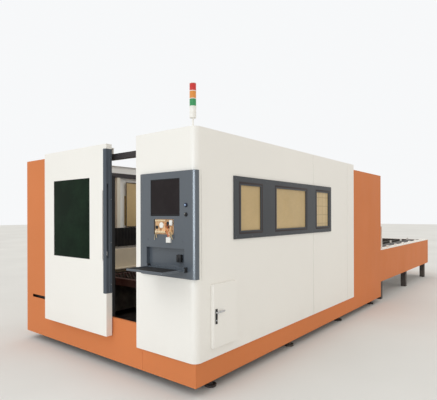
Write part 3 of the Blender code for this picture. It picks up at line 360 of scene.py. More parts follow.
def film(name, colour, grid):
    """Brown protective film: mottled, faintly wrinkled, and on some panes creased in a grid, with painted
    shade darkening the creases.
    """
    material, graph, shader = new_material(name)
    place = graph.place()
    mottle = graph.band(graph.noise(graph.stretch(place, (1.0, 0.25, 1.0)), 55.0, 5.0, 0.7), 0.3, 0.7)
    cloud = graph.band(graph.noise(place, 2.4, 3.0), 0.3, 0.7)
    light = tuple(min(1.0, value) for value in shaded(colour, 1.08))
    base = graph.blend(cloud, shaded(colour, 0.86), light)
    base = graph.blend(graph.math("MULTIPLY", mottle, 0.35), base, shaded(colour, 0.8))
    height = graph.noise(place, 9.0, 4.0, 0.6)
    if grid:
        half_pitch, crease_width = 0.055, 0.007
        axes = graph.axes(place)
        lines = [graph.math("PINGPONG", axes[axis], half_pitch) for axis in ("Y", "Z")]
        crease = graph.band(graph.math("MINIMUM", *lines), 0.0, crease_width, 1.0, 0.0)
        # The creases are darkened toward half the film's colour: painted shade in the creases; the same mask
        # dents the bump.
        mark = graph.math("MULTIPLY", crease, 0.6)
        base = graph.blend(mark, graph.blend(0.25, base, srgb(226, 206, 170)), shaded(colour, 0.5))
        height = graph.math("SUBTRACT", height, mark)
    marks = use_group(graph, smudge_group, Scale=5.0, Roughness=0.38, Amount=0.2)
    graph.fill(shader, {"Base Color": base, "Roughness": marks["Roughness"],
                        "Normal": graph.bump(height, 0.12, 0.004)})
    return material


def laser_glass(name, colour, haze):
    """Dark green laser-safe sheet, glossy and nearly opaque."""
    material, graph, shader = new_material(name)
    marks = use_group(graph, smudge_group, Scale=3.0, Roughness=0.05, Amount=0.1)
    graph.fill(shader, {"Base Color": graph.blend(marks["Mask"], colour, srgb(*haze)),
                        "Roughness": marks["Roughness"], "Specular IOR Level": 0.04})
    return material


def lens(name, colour, painted_glow):
    """A ribbed translucent signal lens, its ribs painted as bands of shade, with a faint painted glow."""
    material, graph, shader = new_material(name)
    half_pitch = 0.0035
    rib = graph.math("PINGPONG", graph.axes(graph.place())["Z"], half_pitch)
    # Each rib is darker along part of its height: painted shade of the ribs.
    base = graph.blend(graph.band(rib, 0.0, half_pitch), shaded(colour, 0.7), colour)
    marks = use_group(graph, smudge_group, Scale=30.0, Roughness=0.16, Amount=0.15)
    graph.fill(shader, {"Base Color": base, "Emission Color": base, "Emission Strength": painted_glow,
                        "Roughness": marks["Roughness"]})
    return material


# Coats: name, colour, roughness, grain, tone drift, dust, dust height, colour where worn, wear
COATS = {
    "orange": ("Orange coat", "orange", 0.5, 0.05, 0.03, 0.05, 0.35, (236, 190, 150), 0.2),
    "white": ("White coat", "white", 0.36, 0.035, 0.012, 0.15, 0.5, (250, 250, 248), 0.15),
    "inner": ("Cream inner coat", (228, 220, 202), 0.5, 0.06, 0.04, 0.35, 1.6, (232, 230, 224), 0.3),
    "slate": ("Slate coat", "slate", 0.3, 0.05, 0.05, 0.2, 0.5, (150, 154, 164), 0.45),
    "window": ("Window frame coat", (66, 70, 76), 0.4, 0.05, 0.05, 0.2, 0.5, (120, 124, 130), 0.4),
    "grip": ("Door grip coat", (82, 89, 98), 0.5, 0.05, 0.05, 0.15, 0.5, (128, 132, 140), 0.2),
    "corner": ("Console corner coat", "slate", 0.3, 0.01, 0.05, 0.1, 0.5, (150, 154, 164), 0.0),
    "maroon": ("Pallet edge primer", (62, 36, 35), 0.6, 0.12, 0.2, 0.35, 1.2, (140, 120, 110), 0.5),
    "deep": ("Dark steelwork coat", (52, 48, 50), 0.5, 0.08, 0.08, 0.4, 1.2, (130, 126, 122), 0.5),
    "posts": ("Two-tone steelwork coat", (62, 58, 60), 0.5, 0.08, 0.05, 0.3, 1.2, (150, 146, 140), 0.4),
    "black": ("Black coat", (34, 34, 36), 0.55, 0.1, 0.1, 0.3, 0.8, (110, 108, 104), 0.4),
    "bellows": ("Guard cloth", (26, 26, 28), 0.7, 0.25, 0.12, 0.25, 1.6, (70, 70, 70), 0.3),
    "grey": ("Cabinet grey coat", (196, 198, 196), 0.45, 0.06, 0.03, 0.2, 0.7, (232, 230, 224), 0.3),
    "slat": ("Cut slat steel", (44, 41, 40), 0.6, 0.3, 0.25, 0.5, 1.4, (150, 140, 130), 0.7),
    # The bed's cream is darker than the inner cream: painted shade inside the cabin.
    "bed": ("Two-tone bed coat", (204, 192, 170), 0.5, 0.06, 0.04, 0.35, 1.6, (150, 146, 140), 0.4),
}
COAT_EXTRAS = {
    "orange": {"specular": 0.05},
    "slate": {"clear": 0.6},
    "grip": {"specular": 0.1},
    "corner": {"clear": 0.9},
    "posts": {"below": srgb(222, 216, 200), "level": SIDE_BEAM_Z - 0.001},
    # Below this level the bed sides turn dark: painted shade under the pallets.
    "bed": {"below": srgb(44, 40, 38), "level": FLOOR_Z + 0.74},
}
# Metals: name, colour, roughness, stretch of the fine lines, their scale
METALS = {
    "steel": ("Ground steel", (190, 192, 196), 0.28, (1.0, 0.02, 1.0), 500.0),
    "chrome": ("Plated steel", (214, 216, 220), 0.14, (1.0, 1.0, 1.0), 90.0),
    "copper": ("Copper", (200, 128, 84), 0.26, (1.0, 1.0, 0.05), 300.0),
    "zinc": ("Zinc-plated bolts", (176, 178, 176), 0.34, (1.0, 1.0, 1.0), 160.0),
}
# Plastics: name, colour, roughness, amount and scale of the marks, clear coat, specular
PLASTICS = {
    "gasket": ("Window gasket", (52, 44, 46), 0.6, 0.1, 60.0),
    # The pale cap centre is a painted glint on the start button.
    "glint_blue": ("Lit cap centre", (178, 206, 236), 0.3, 0.1, 60.0, 0.2),
    "screen": ("Screen", (34, 29, 31), 0.14, 0.1, 5.0, 0.0, 0.12),
    "bezel": ("Monitor bezel", (30, 28, 30), 0.45, 0.12, 40.0, 0.0, 0.2),
    "rubber": ("Rubber", (26, 26, 27), 0.75, 0.1, 60.0),
    "plug": ("White plug", (236, 234, 228), 0.4, 0.1, 80.0),
    "board": ("Terminal board", (226, 184, 138), 0.5, 0.15, 70.0),
    "terminal": ("Terminals", (236, 214, 176), 0.45, 0.15, 90.0),
    "wire_orange": ("Orange wire", (222, 120, 60), 0.4, 0.1, 90.0),
    "wire_pale": ("Pale wire", (232, 206, 150), 0.4, 0.1, 90.0),
    "wire_dark": ("Dark wire", (40, 38, 40), 0.5, 0.1, 90.0),
    "blue": ("Blue cap", (36, 52, 92), 0.3, 0.1, 60.0, 0.2),
}
FILMS = {
    "film": ("Protective film", "film", False),
    "film_grid": ("Creased protective film", "film", True),
}
GLASSES = {"glass": ("Laser-safe sheet", (14, 30, 20), (24, 44, 30))}
# Lenses: name, colour, strength of the faint painted glow
LENSES = {
    "red": ("Red lens", (206, 46, 42), 0.15),
    "amber": ("Amber lens", (226, 146, 62), 0.15),
    "green": ("Green lens", (52, 150, 92), 0.15),
}
FINISHES = ((COATS, coated), (METALS, metal), (PLASTICS, plastic), (FILMS, film), (GLASSES, laser_glass),
            (LENSES, lens))
MATERIALS = {}


def finish_of(key):
    """One of the machine's finishes, built when it is first asked for."""
    if key not in MATERIALS:
        table, maker = next(pair for pair in FINISHES if key in pair[0])
        label, colour, *values = table[key]
        own = bpy.context.scene.machine_coats
        colour = tuple(getattr(own, colour)) if isinstance(colour, str) else srgb(*colour)
        MATERIALS[key] = maker(label, colour, *values, **COAT_EXTRAS.get(key, {}))
    return MATERIALS[key]


# Mesh building

def circle(part, radius, height, steps):
    """Vertices of a circle round Z."""
    turns = [2 * pi * step / steps for step in range(steps)]
    return [part.verts.new((radius * cos(turn), radius * sin(turn), height)) for turn in turns]


def weave(part, rows):
    """Faces between each row of vertices and the next, all the way round."""
    for row, after in zip(rows, rows[1:]):
        for step in range(len(row)):
            nxt = (step + 1) % len(row)
            part.faces.new((row[step], row[nxt], after[nxt], after[step]))


def cap(part, rows):
    """Close the ends of woven rows."""
    part.faces.new(list(reversed(rows[0])))
    part.faces.new(rows[-1])


class Shape:
    """A mesh in the making, in the machine's own frame."""

    def __init__(self):
        self.mesh = bmesh.new()

    def absorb(self, other, matrix=None):
        if matrix is not None:
            bmesh.ops.transform(other, matrix=matrix, verts=other.verts)
        carried = bpy.data.meshes.new("carried")
        other.to_mesh(carried)
        other.free()
        self.mesh.from_mesh(carried)
        bpy.data.meshes.remove(carried)
        return self

    def stand(self, part, centre, axis):
        """Take in a part that was built round Z."""
        return self.absorb(part, Matrix.Translation(centre) @ turn_to(axis))

    def box(self, low, high, round_by=0.0):
        low, high = Vector(low), Vector(high)
        part = bmesh.new()
        size = Vector([abs(b - a) for a, b in zip(low, high)])
        bmesh.ops.create_cube(part, size=1.0, matrix=Matrix.Translation((low + high) / 2)
                              @ Matrix.Diagonal(size).to_4x4())
        if round_by:
            bmesh.ops.bevel(part, geom=part.edges[:], offset=min(round_by, min(size) * 0.45), segments=2,
                            profile=0.5, affect="EDGES")
        return self.absorb(part)

    def cylinder(self, centre, radius, length, axis="Z", steps=24, round_by=0.0):
        part = bmesh.new()
        bmesh.ops.create_cone(part, cap_ends=True, segments=steps, radius1=radius, radius2=radius,
                              depth=length)
        if round_by:
            rims = [edge for edge in part.edges if abs(edge.verts[0].co.z - edge.verts[1].co.z) < 1e-6]
            bmesh.ops.bevel(part, geom=rims, offset=round_by, segments=2, profile=0.5, affect="EDGES")
        return self.stand(part, centre, axis)

    def sleeve(self, centre, inner, outer, length, axis="Z", steps=32):
        """A short pipe round a centre."""
        part = bmesh.new()
        profile = ((inner, -0.5), (outer, -0.5), (outer, 0.5), (inner, 0.5))
        rows = [circle(part, radius, height * length, steps) for radius, height in profile]
        weave(part, rows + rows[:1])
        return self.stand(part, centre, axis)

    def turned(self, centre, profile, axis="Z", steps=32):
        """A closed turned body from radius and height pairs, from bottom to top."""
        part = bmesh.new()
        rows = [circle(part, radius, height, steps) for radius, height in profile]
        weave(part, rows)
        cap(part, rows)
        return self.stand(part, centre, axis)

    def rim(self, low, high, width, axis, round_by=0.0):
        """Four bars round a rectangle that faces along an axis."""
        low, high = Vector(low), Vector(high)
        first, second = [index for index in range(3) if index != "XYZ".index(axis)]
        for side, other in ((first, second), (second, first)):
            for near in (True, False):
                start, stop = low.copy(), high.copy()
                if near:
                    start[side], stop[side] = low[side] - width, low[side]
                else:
                    start[side], stop[side] = high[side], high[side] + width
                if side == second:
                    start[other] -= width
                    stop[other] += width
                self.box(start, stop, round_by)
        return self

    def bolt(self, centre, radius, axis, sign=1.0, height=None):
        """A button head with its hexagon socket, standing on a face."""
        height = height or radius * 0.55
        out = Vector(unit(axis)) * sign
        self.cylinder(Vector(centre) + out * height * 0.5, radius, height, axis, 16, round_by=radius * 0.22)
        self.cylinder(Vector(centre) + out * height * 0.98, radius * 0.5, height * 0.12, axis, 6)
        return self

    def tube(self, points, radius, steps=8):
        """A round bar along a smooth curve through points, with closed ends."""
        part = bmesh.new()
        path = smooth_path([Vector(point) for point in points], 4)
        turns = [2 * pi * step / steps for step in range(steps)]
        side = None
        rows = []
        for index, point in enumerate(path):
            ahead = path[min(index + 1, len(path) - 1)] - path[max(index - 1, 0)]
            ahead.normalize()
            if side is None:
                side = ahead.orthogonal().normalized()
            side = (side - ahead * side.dot(ahead)).normalized()
            over = ahead.cross(side)
            rows.append([part.verts.new(point + (side * cos(turn) + over * sin(turn)) * radius)
                         for turn in turns])
        weave(part, rows)
        cap(part, rows)
        return self.absorb(part)

    def prism(self, outline, low, high, axis):
        """An outline made thick between two places on an axis."""
        part = bmesh.new()
        first = [part.verts.new(on_axis(a, b, low, axis)) for a, b in outline]
        last = [part.verts.new(on_axis(a, b, high, axis)) for a, b in outline]
        count = len(outline)
        part.faces.new(first)
        part.faces.new(list(reversed(last)))
        for index in range(count):
            nxt = (index + 1) % count
            part.faces.new((first[nxt], first[index], last[index], last[nxt]))
        bmesh.ops.recalc_face_normals(part, faces=part.faces)
        return self.absorb(part)

    def place(self, name, body, finish, slot, smooth=40.0):
        """Make the object, give it its finish and let it ride on its body."""
        mesh = bpy.data.meshes.new(name)
        bmesh.ops.recalc_face_normals(self.mesh, faces=self.mesh.faces)
        self.mesh.to_mesh(mesh)
        self.mesh.free()
        mesh.materials.append(finish_of(finish))
        mesh.shade_smooth()
        mesh.set_sharp_from_angle(angle=radians(smooth))
        item = bpy.data.objects.new(name, mesh)
        bpy.context.scene.collection.objects.link(item)
        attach(item, body)


def unit(axis):
    return {"X": (1.0, 0.0, 0.0), "Y": (0.0, 1.0, 0.0), "Z": (0.0, 0.0, 1.0)}[axis]


def turn_to(axis):
    """Turn Z onto an axis."""
    return {"X": Matrix.Rotation(pi / 2, 4, "Y"), "Y": Matrix.Rotation(-pi / 2, 4, "X"),
            "Z": Matrix.Identity(4)}[axis]


def on_axis(first, second, along, axis):
    return {"X": (along, first, second), "Y": (first, along, second), "Z": (first, second, along)}[axis]


def smooth_path(points, between):
    """Points of a smooth curve through the given ones."""
    path = []
    for index in range(len(points) - 1):
        before, start = points[max(index - 1, 0)], points[index]
        end, after = points[index + 1], points[min(index + 2, len(points) - 1)]
        for step in range(between):
            t = step / between
            path.append(0.5 * ((2 * start) + (end - before) * t
                               + (2 * before - 5 * start + 4 * end - after) * t ** 2
                               + (3 * start - before - 3 * end + after) * t ** 3))
    return path + [points[-1]]


def dress(node, finish, edge):
    """Give a CAD node its finish and soft edges, without touching its own mesh."""
    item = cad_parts[node]
    item.data.materials.clear()
    item.data.materials.append(finish_of(finish))
    bevel = item.modifiers.new("soft_edges", "BEVEL")
    bevel.width = edge
    bevel.segments = 2
    bevel.limit_method = "ANGLE"
    bevel.angle_limit = radians(50)
    bevel.harden_normals = False


# Operators: one for each piece or group of like pieces

NODES_BY_FINISH = {
    "orange": "front_panel right_panel left_panel rear_portal table_panel_right table_panel_left "
              "table_panel_end",
    "white": "column_shell right_wall_front right_wall_rear left_wall_front left_wall_rear door_leaf "
             "cabinet_door guard_post table_strip_right table_strip_left signal_mast gantry_beam head_drive",
    "bed": "bed_side_right bed_side_left",
    "slate": "console_housing keyboard_tray",
    "grip": "door_grip",
    "window": "window_frame_right window_frame_left",
    "posts": "side_frame_right side_frame_left",
    "deep": "base_frame header_beam table_frame rear_gate carriage",
    "slat": "upper_pallet",
    "maroon": "lower_pallet",
    "bellows": "rail_guard_right rail_guard_left",
    "black": "handle_plate mode_switch cutting_head",
    "grey": "electrical_cabinet",
    "steel": "y_rail_right y_rail_left",
    "chrome": "cabinet_lever",
    "copper": "nozzle",
    "bezel": "monitor",
    "board": "control_board",
    "plug": "loose_connector",
    "blue": "start_button",
    "glass": "door_glass",
    "film": "right_pane_front right_pane_middle left_pane_front left_pane_middle",
    "film_grid": "right_pane_rear left_pane_rear",
    "red": "signal_red",
    "amber": "signal_amber",
    "green": "signal_green",
}
FINE_EDGE = 0.0008
FINE_NODES = (
    "control_board loose_connector start_button mode_switch handle_plate cabinet_lever nozzle signal_red "
    "signal_amber signal_green signal_mast upper_pallet lower_pallet rail_guard_right rail_guard_left "
    "y_rail_right y_rail_left door_glass door_grip keyboard_tray monitor console_housing cabinet_door"
).split()


class MACHINE_OT_coat_covers(bpy.types.Operator):
    """Give every solid of the frame its finish and its rounded edges"""
    bl_idname = "machine.coat_covers"
    bl_label = "Coat the covers and frames"

    def execute(self, context):
        edge = context.scene.machine_sizes.edge_radius
        for finish, nodes in NODES_BY_FINISH.items():
            for node in nodes.split():
                dress(node, finish, FINE_EDGE if node in FINE_NODES else edge)
        return {"FINISHED"}


class MACHINE_OT_join_walls(bpy.types.Operator):
    """Cover the joints between the wall sheets and trim the column beside the console"""
    bl_idname = "machine.join_walls"
    bl_label = "Add wall joint strips"

    def execute(self, context):
        half_width, proud, clear = 0.013, 0.003, 0.002
        fold_share, fold_thinner = 0.82, 0.4
        for side, sign in SIDES:
            wall_low, wall_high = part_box(f"{side}_wall_rear")
            frame_low, frame_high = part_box(f"window_frame_{side}")
            near, far = layer(wall_high.x if sign > 0 else wall_low.x, sign, GAP, proud)
            bottom, top = wall_low.z + clear, wall_high.z - clear
            joint = wall_low.y
            strips = Shape()
            for low, high in ((bottom, frame_low.z - clear), (frame_high.z + clear, top)):
                strips.box((near, joint - half_width, low), (far, joint + half_width, high), 0.001)
            strips.place(f"wall_joint_{side}", "machine", "white", "white_coat")
            fold = wall_low.y + (wall_high.y - wall_low.y) * fold_share
            Shape().box((near, fold - half_width, bottom),
                        (far - sign * proud * fold_thinner, fold + half_width, top), 0.0008).place(
                f"wall_fold_{side}", "machine", "white", "white_coat")
        trim_near, trim_far, trim_drop = 0.061, 0.081, 0.014
        Shape().box((SHELL_HIGH.x + GAP, FRONT_LOW.y + trim_near, CONSOLE_LOW.z - trim_drop),
                    (SHELL_HIGH.x + proud, FRONT_LOW.y + trim_far, CONSOLE_HIGH.z), 0.001).place(
            "console_trim", "machine", "white", "white_coat")
        return {"FINISHED"}


class MACHINE_OT_line_windows(bpy.types.Operator):
    """Lay gaskets round the window panes, bolts along the frames and film sheets inside the cabin"""
    bl_idname = "machine.line_windows"
    bl_label = "Fit window gaskets and inner films"

    def execute(self, context):
        gasket, thick = 0.018, 0.0016
        wall_clear, sheet, tape_near, tape_far, tape = 0.001, 0.0012, 0.0014, 0.003, 0.012
        film_drop, film_past, below_beam, tape_inset = 0.028, 0.012, 0.058, 0.012
        bolt_count, bolt_radius, bolt_height, end_margin, edge_margin = 9, 0.0055, 0.0014, 0.03, 0.022
        middle = (BASE_HIGH.x + BASE_LOW.x) / 2
        top = SIDE_BEAM_Z - below_beam
        for side, sign in SIDES:
            frame_low, frame_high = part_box(f"window_frame_{side}")
            face = frame_high.x if sign > 0 else frame_low.x
            gaskets, sheets, tapes, bolts = Shape(), Shape(), Shape(), Shape()
            near, far = layer(face, sign, GAP, thick)
            inside = middle + sign * (BASE_HIGH.x - middle - wall_clear)
            sheet_low, sheet_high = layer(inside, -sign, 0.0, sheet)
            tape_low, tape_high = layer(inside, -sign, tape_near, tape_far)
            for place in ("front", "middle", "rear"):
                low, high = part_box(f"{side}_pane_{place}")
                gaskets.rim((near, low.y, low.z), (far, high.y, high.z), gasket, "X", 0.0006)
                sheets.box((sheet_low, low.y, low.z - film_drop), (sheet_high, high.y + film_past, top))
                tapes.rim((tape_low, low.y + tape_inset, low.z - film_drop / 2),
                          (tape_high, high.y, top - tape_inset), tape, "X")
            for across in spread(frame_low.y + end_margin, frame_high.y - end_margin, bolt_count):
                for level in (frame_low.z + edge_margin, frame_high.z - edge_margin):
                    bolts.bolt((face + sign * GAP, across, level), bolt_radius, "X", sign, bolt_height)
            gaskets.place(f"window_gaskets_{side}", "machine", "gasket", "black_coat")
            bolts.place(f"window_bolts_{side}", "machine", "slate", "slate_coat")
            sheets.place(f"inner_films_{side}", "machine", "film", "tan_film")
            tapes.place(f"inner_film_tapes_{side}", "machine", "gasket", "black_coat")
        return {"FINISHED"}


class MACHINE_OT_fit_console(bpy.types.Operator):
    """Fit the monitor's bezel, the corner's skin, screws, control rings and the keyboard bay's parts"""
    bl_idname = "machine.fit_console"
    bl_label = "Fit console details"

    def execute(self, context):
        self.fit_monitor()
        screws = Shape()
        for across, above in ((0.882, 1.322), (1.317, 1.320)):
            head = spot(across, 0.0, above)
            screws.bolt((head.x, CONSOLE_FACE - GAP, head.z), 0.006, "Y", -1.0)
        screws.place("console_screws", "machine", "slate", "slate_coat")
        self.round_corner()
        self.mark_controls()
        self.fit_bay()
        return {"FINISHED"}

    def fit_monitor(self):
        face, border, screen_back, lip = MONITOR_LOW.y - GAP, 0.009, 0.0012, 0.002
        low = Vector((MONITOR_LOW.x + border, face - lip, MONITOR_LOW.z + border * 1.6))
        high = Vector((MONITOR_HIGH.x - border, face, MONITOR_HIGH.z - border))
        Shape().rim(low, high, border * 0.95, "Y", 0.0008).place("monitor_bezel", "machine", "bezel",
                                                                "black_coat")
        Shape().box(low + Vector((GAP, screen_back, GAP)), high - Vector((GAP, 0.0, GAP))).place(
            "monitor_screen", "machine", "screen", "black_coat")

    def round_corner(self):
        """A thin smooth skin over the console's rounded corner, which carries its long highlight."""
        radius, steps, seat, edge, swell, inset = 0.045, 16, 0.0001, 0.0002, 0.0007, 0.005
        centre_x, centre_y = CONSOLE_HIGH.x - radius, CONSOLE_FACE + radius
        inner, outer = [], []
        for step in range(steps + 1):
            angle = pi / 2 * step / steps
            proud = edge + swell * sin(pi * step / steps)
            for line, reach in ((inner, radius + seat), (outer, radius + proud)):
                line.append((centre_x + reach * sin(angle), centre_y - reach * cos(angle)))
        Shape().prism(inner + outer[::-1], CONSOLE_LOW.z + inset, CONSOLE_HIGH.z - inset, "Z").place(
            "console_corner_skin", "machine", "corner", "slate_coat", 40.0)

    def mark_controls(self):
        cap_low, cap_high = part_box("start_button")
        dial_low, dial_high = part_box("mode_switch")
        clear, ring, ring_depth, seat = 0.0012, 0.004, 0.0036, 0.0022
        rings = Shape()
        for low, high in ((cap_low, cap_high), (dial_low, dial_high)):
            centre, radius = (low + high) / 2, (high.x - low.x) / 2
            rings.sleeve((centre.x, CONSOLE_FACE - seat, centre.z), radius + clear, radius + clear + ring,
                         ring_depth, "Y")
        rings.place("control_rings", "machine", "black", "black_coat")
        centre = (cap_low + cap_high) / 2
        # The pale dot on the cap is a painted glint, a highlight painted on the button.
        glint_share, glint_depth, glint_out = 0.24, 0.0008, 0.0006
        Shape().cylinder((centre.x, cap_low.y - glint_out, centre.z), (cap_high.x - cap_low.x) * glint_share,
                         glint_depth, "Y", 20).place("start_button_mark", "start_button", "glint_blue",
                                                   "button_blue")
        centre = (dial_low + dial_high) / 2
        half, depth, short = 0.0012, 0.0008, 0.003
        Shape().box((centre.x - half, dial_low.y - depth, centre.z),
                    (centre.x + half, dial_low.y - GAP / 2, dial_high.z - short)).place(
            "mode_switch_mark", "mode_switch", "plug", "black_coat")

    def fit_bay(self):
        """The bracket at the bay's back, the tray's hinge blocks and its mat."""
        hold = spot(1.262, 0.0, 1.168)
        back = CONSOLE_FACE + 0.0345
        bracket = Shape().box((hold.x - 0.025, back - 0.030, hold.z - 0.030),
                              (hold.x + 0.025, back, hold.z + 0.034), 0.003)
        bracket.box((hold.x - 0.010, back - 0.040, hold.z - 0.018),
                    (hold.x + 0.010, back - 0.0302, hold.z + 0.010), 0.002)
        bracket.place("bay_bracket", "machine", "black", "black_coat")
        clear, reach, depth, under, over = 0.002, 0.014, 0.034, 0.010, 0.016
        ends = Shape()
        for side, sign in ((TRAY_HIGH.x, 1.0), (TRAY_LOW.x, -1.0)):
            near, far = layer(side, sign, clear, reach)
            ends.box((near, CONSOLE_FACE - depth, TRAY_LOW.z - under),
                     (far, CONSOLE_FACE - GAP, TRAY_HIGH.z + over), 0.003)
        ends.place("tray_hinge_blocks", "machine", "black", "black_coat")
        margin, hinge_margin, rim_height, mat = 0.014, 0.030, 0.010, 0.0025
        Shape().box((TRAY_LOW.x + margin, TRAY_LOW.y + margin, TRAY_HIGH.z - rim_height + GAP),
                    (TRAY_HIGH.x - margin, TRAY_HIGH.y - hinge_margin, TRAY_HIGH.z - rim_height + mat),
                    0.001).place("tray_mat", "keyboard_tray", "rubber", "black_coat")


class MACHINE_OT_wire_board(bpy.types.Operator):
    """Fill the console's cut-out with the board's parts and its open wiring"""
    bl_idname = "machine.wire_board"
    bl_label = "Wire the terminal board"

    def execute(self, context):
        self.fit_parts()
        self.lay_wires()
        return {"FINISHED"}

    def at(self, across, above, out=0.0):
        """A place on the board from its shares of width and height, out toward the front."""
        size = BOARD_HIGH - BOARD_LOW
        return Vector((BOARD_LOW.x + size.x * across, BOARD_LOW.y - GAP - out, BOARD_LOW.z + size.z * above))

    def fit_parts(self):
        at = self.at
        coil = Shape().cylinder(at(0.42, 0.60, 0.004), 0.026, 0.007, "Y", 28, round_by=0.001)
        coil.sleeve(at(0.42, 0.60, 0.0085), 0.012, 0.020, 0.002, "Y")
        coil.place("board_coil", "machine", "plug", "board_tan")
        terminals = Shape()
        first, pitch, width = 0.10, 0.075, 0.055
        for index in range(7):
            left = first + index * pitch
            for low, high, proud in ((0.10, 0.24, 0.009), (0.86, 0.96, 0.007)):
                terminals.box(at(left, low, proud), at(left + width, high), 0.0015)
        terminals.place("board_terminals", "machine", "terminal", "board_tan")
        chips = Shape().box(at(0.70, 0.40, 0.010), at(0.80, 0.84), 0.001)
        chips.box(at(0.12, 0.36, 0.006), at(0.24, 0.56), 0.001)
        chips.place("board_chips", "machine", "rubber", "board_tan")
        Shape().box(at(0.83, 0.60, 0.012), at(0.96, 0.94), 0.002).place("board_relay", "machine", "plug",
                                                                         "board_tan")

    def lay_wires(self):
        """Wires from the board to the loose plug, then short open ends at the board's lower edge."""
        at, low, outside = self.at, BOARD_LOW.z, CONSOLE_FACE - 0.006
        plug_low, plug_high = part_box("loose_connector")
        plug_x, plug_top = (plug_low.x + plug_high.x) / 2, plug_low.z + 0.040
        orange, pale, dark = Shape(), Shape(), Shape()
        runs = ((orange, 0.66, 0.010, 0.35), (orange, 0.72, 0.016, 0.55), (orange, 0.62, 0.004, 0.75),
                (pale, 0.69, 0.020, 0.45), (orange, 0.78, -0.006, 0.65), (pale, 0.86, 0.026, 0.30))
        for shape, across, shift, above in runs:
            start = at(across, above, 0.003)
            end = Vector((plug_x + shift - 0.010, outside, plug_top + 0.012))
            knee = Vector(((start.x + end.x) / 2 + shift, outside - 0.004, low + 0.012))
            shape.tube((start, start + Vector((0.004, -0.012, -0.012)), knee, end), 0.0022)
        for across, fall, bend in ((0.10, 0.052, -0.010), (0.16, 0.034, 0.006), (0.90, 0.040, 0.020)):
            start = at(across, 0.12, 0.004)
            pale.tube((start, Vector((start.x, outside, low - 0.002)),
                       Vector((start.x + bend, outside - 0.001, low - fall))), 0.0018)
        for across, bend in ((0.22, -0.016), (0.97, 0.012)):
            start = at(across, 0.3, 0.004)
            dark.tube((start, Vector((start.x + bend, outside - 0.002, low + 0.004)),
                       Vector((start.x + bend * 1.6, outside, low - 0.030))), 0.0018)
        for tone, wires in (("orange", orange), ("pale", pale), ("dark", dark)):
            wires.place(f"board_wires_{tone}", "machine", f"wire_{tone}", "board_tan", 80.0)


class MACHINE_OT_fit_door(bpy.types.Operator):
    """Fit the sliding door's glass gasket, latch, bolts and seal, and a black strip that paints the shade at
    the back of its guide slot
    """
    bl_idname = "machine.fit_door"
    bl_label = "Fit sliding door details"

    def execute(self, context):
        face, inset, lip = PANE_LOW.y - GAP, 0.005, 0.0012
        Shape().rim((PANE_LOW.x + inset, face - lip, PANE_LOW.z + inset),
                    (PANE_HIGH.x - inset, face, PANE_HIGH.z - inset), inset, "Y", 0.0004).place(
            "door_glass_gasket", "front_door", "rubber", "black_coat")
        strip_depth, latch_height, half = 0.004, 0.397, 0.020
        side = GRIP_HIGH.x - strip_depth + GAP
        level = GRIP_LOW.z + latch_height
        latch = Shape().box((side, GRIP_LOW.y + 0.010, level - half),
                            (side + 0.006, GRIP_LOW.y + 0.0175, level + half), 0.0015)
        latch.cylinder((side + 0.008, GRIP_LOW.y + 0.0138, level), 0.0034, 0.0036, "X", 16, round_by=0.0008)
        latch.place("door_latch", "front_door", "chrome", "bare_steel")
        bolts = Shape()
        for share in (0.06, 0.35, 0.65, 0.94):
            level = GRIP_LOW.z + (GRIP_HIGH.z - GRIP_LOW.z) * share
            bolts.bolt((GRIP_HIGH.x + GAP, GRIP_HIGH.y - 0.010, level), 0.0045, "X", 1.0, 0.002)
        bolts.place("door_grip_bolts", "front_door", "zinc", "bare_steel")
        Shape().box((LEAF_HIGH.x - 0.014, FRONT_LOW.y - 0.0098, FLOOR_Z + 0.53),
                    (LEAF_HIGH.x - 0.002, FRONT_LOW.y + 0.030, FLOOR_Z + 1.94), 0.002).place(
            "door_edge_seal", "front_door", "rubber", "black_coat")
        # A black strip behind the door's guide slot: painted shade inside the slot.
        Shape().box(spot(-1.395, 0.041, 0.515), spot(-0.47, 0.043, 0.58)).place(
            "guide_slot_back", "machine", "black", "black_coat")
        return {"FINISHED"}


class MACHINE_OT_fit_signal(bpy.types.Operator):
    """Fit the white rings between the signal tower's lenses, its foot ring and its top cap"""
    bl_idname = "machine.fit_signal"
    bl_label = "Fit signal tower details"

    def execute(self, context):
        ring_drop, ring_inner, ring_outer, ring_length = 0.0030, 0.0037, 0.0006, 0.0054
        foot_drop, foot_inner, foot_outer, foot_length = 0.0040, 0.0003, 0.0016, 0.0070
        cap_profile = ((0.0225, 0.0), (0.0225, 0.0004), (0.016, 0.0008), (0.002, 0.001))
        rings = Shape()
        for name in ("signal_green", "signal_amber", "signal_red"):
            low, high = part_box(name)
            centre, radius = (low + high) / 2, (high.x - low.x) / 2
            rings.sleeve((centre.x, centre.y, high.z - ring_drop), radius - ring_inner, radius + ring_outer,
                         ring_length, "Z", 40)
        low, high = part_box("signal_green")
        centre, radius = (low + high) / 2, (high.x - low.x) / 2
        rings.sleeve((centre.x, centre.y, low.z - foot_drop), radius + foot_inner, radius + foot_outer,
                     foot_length, "Z", 40)
        low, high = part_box("signal_red")
        centre = (low + high) / 2
        rings.turned((centre.x, centre.y, high.z + GAP / 2), cap_profile, steps=32)
        rings.place("signal_rings", "machine", "plug", "white_coat")
        return {"FINISHED"}


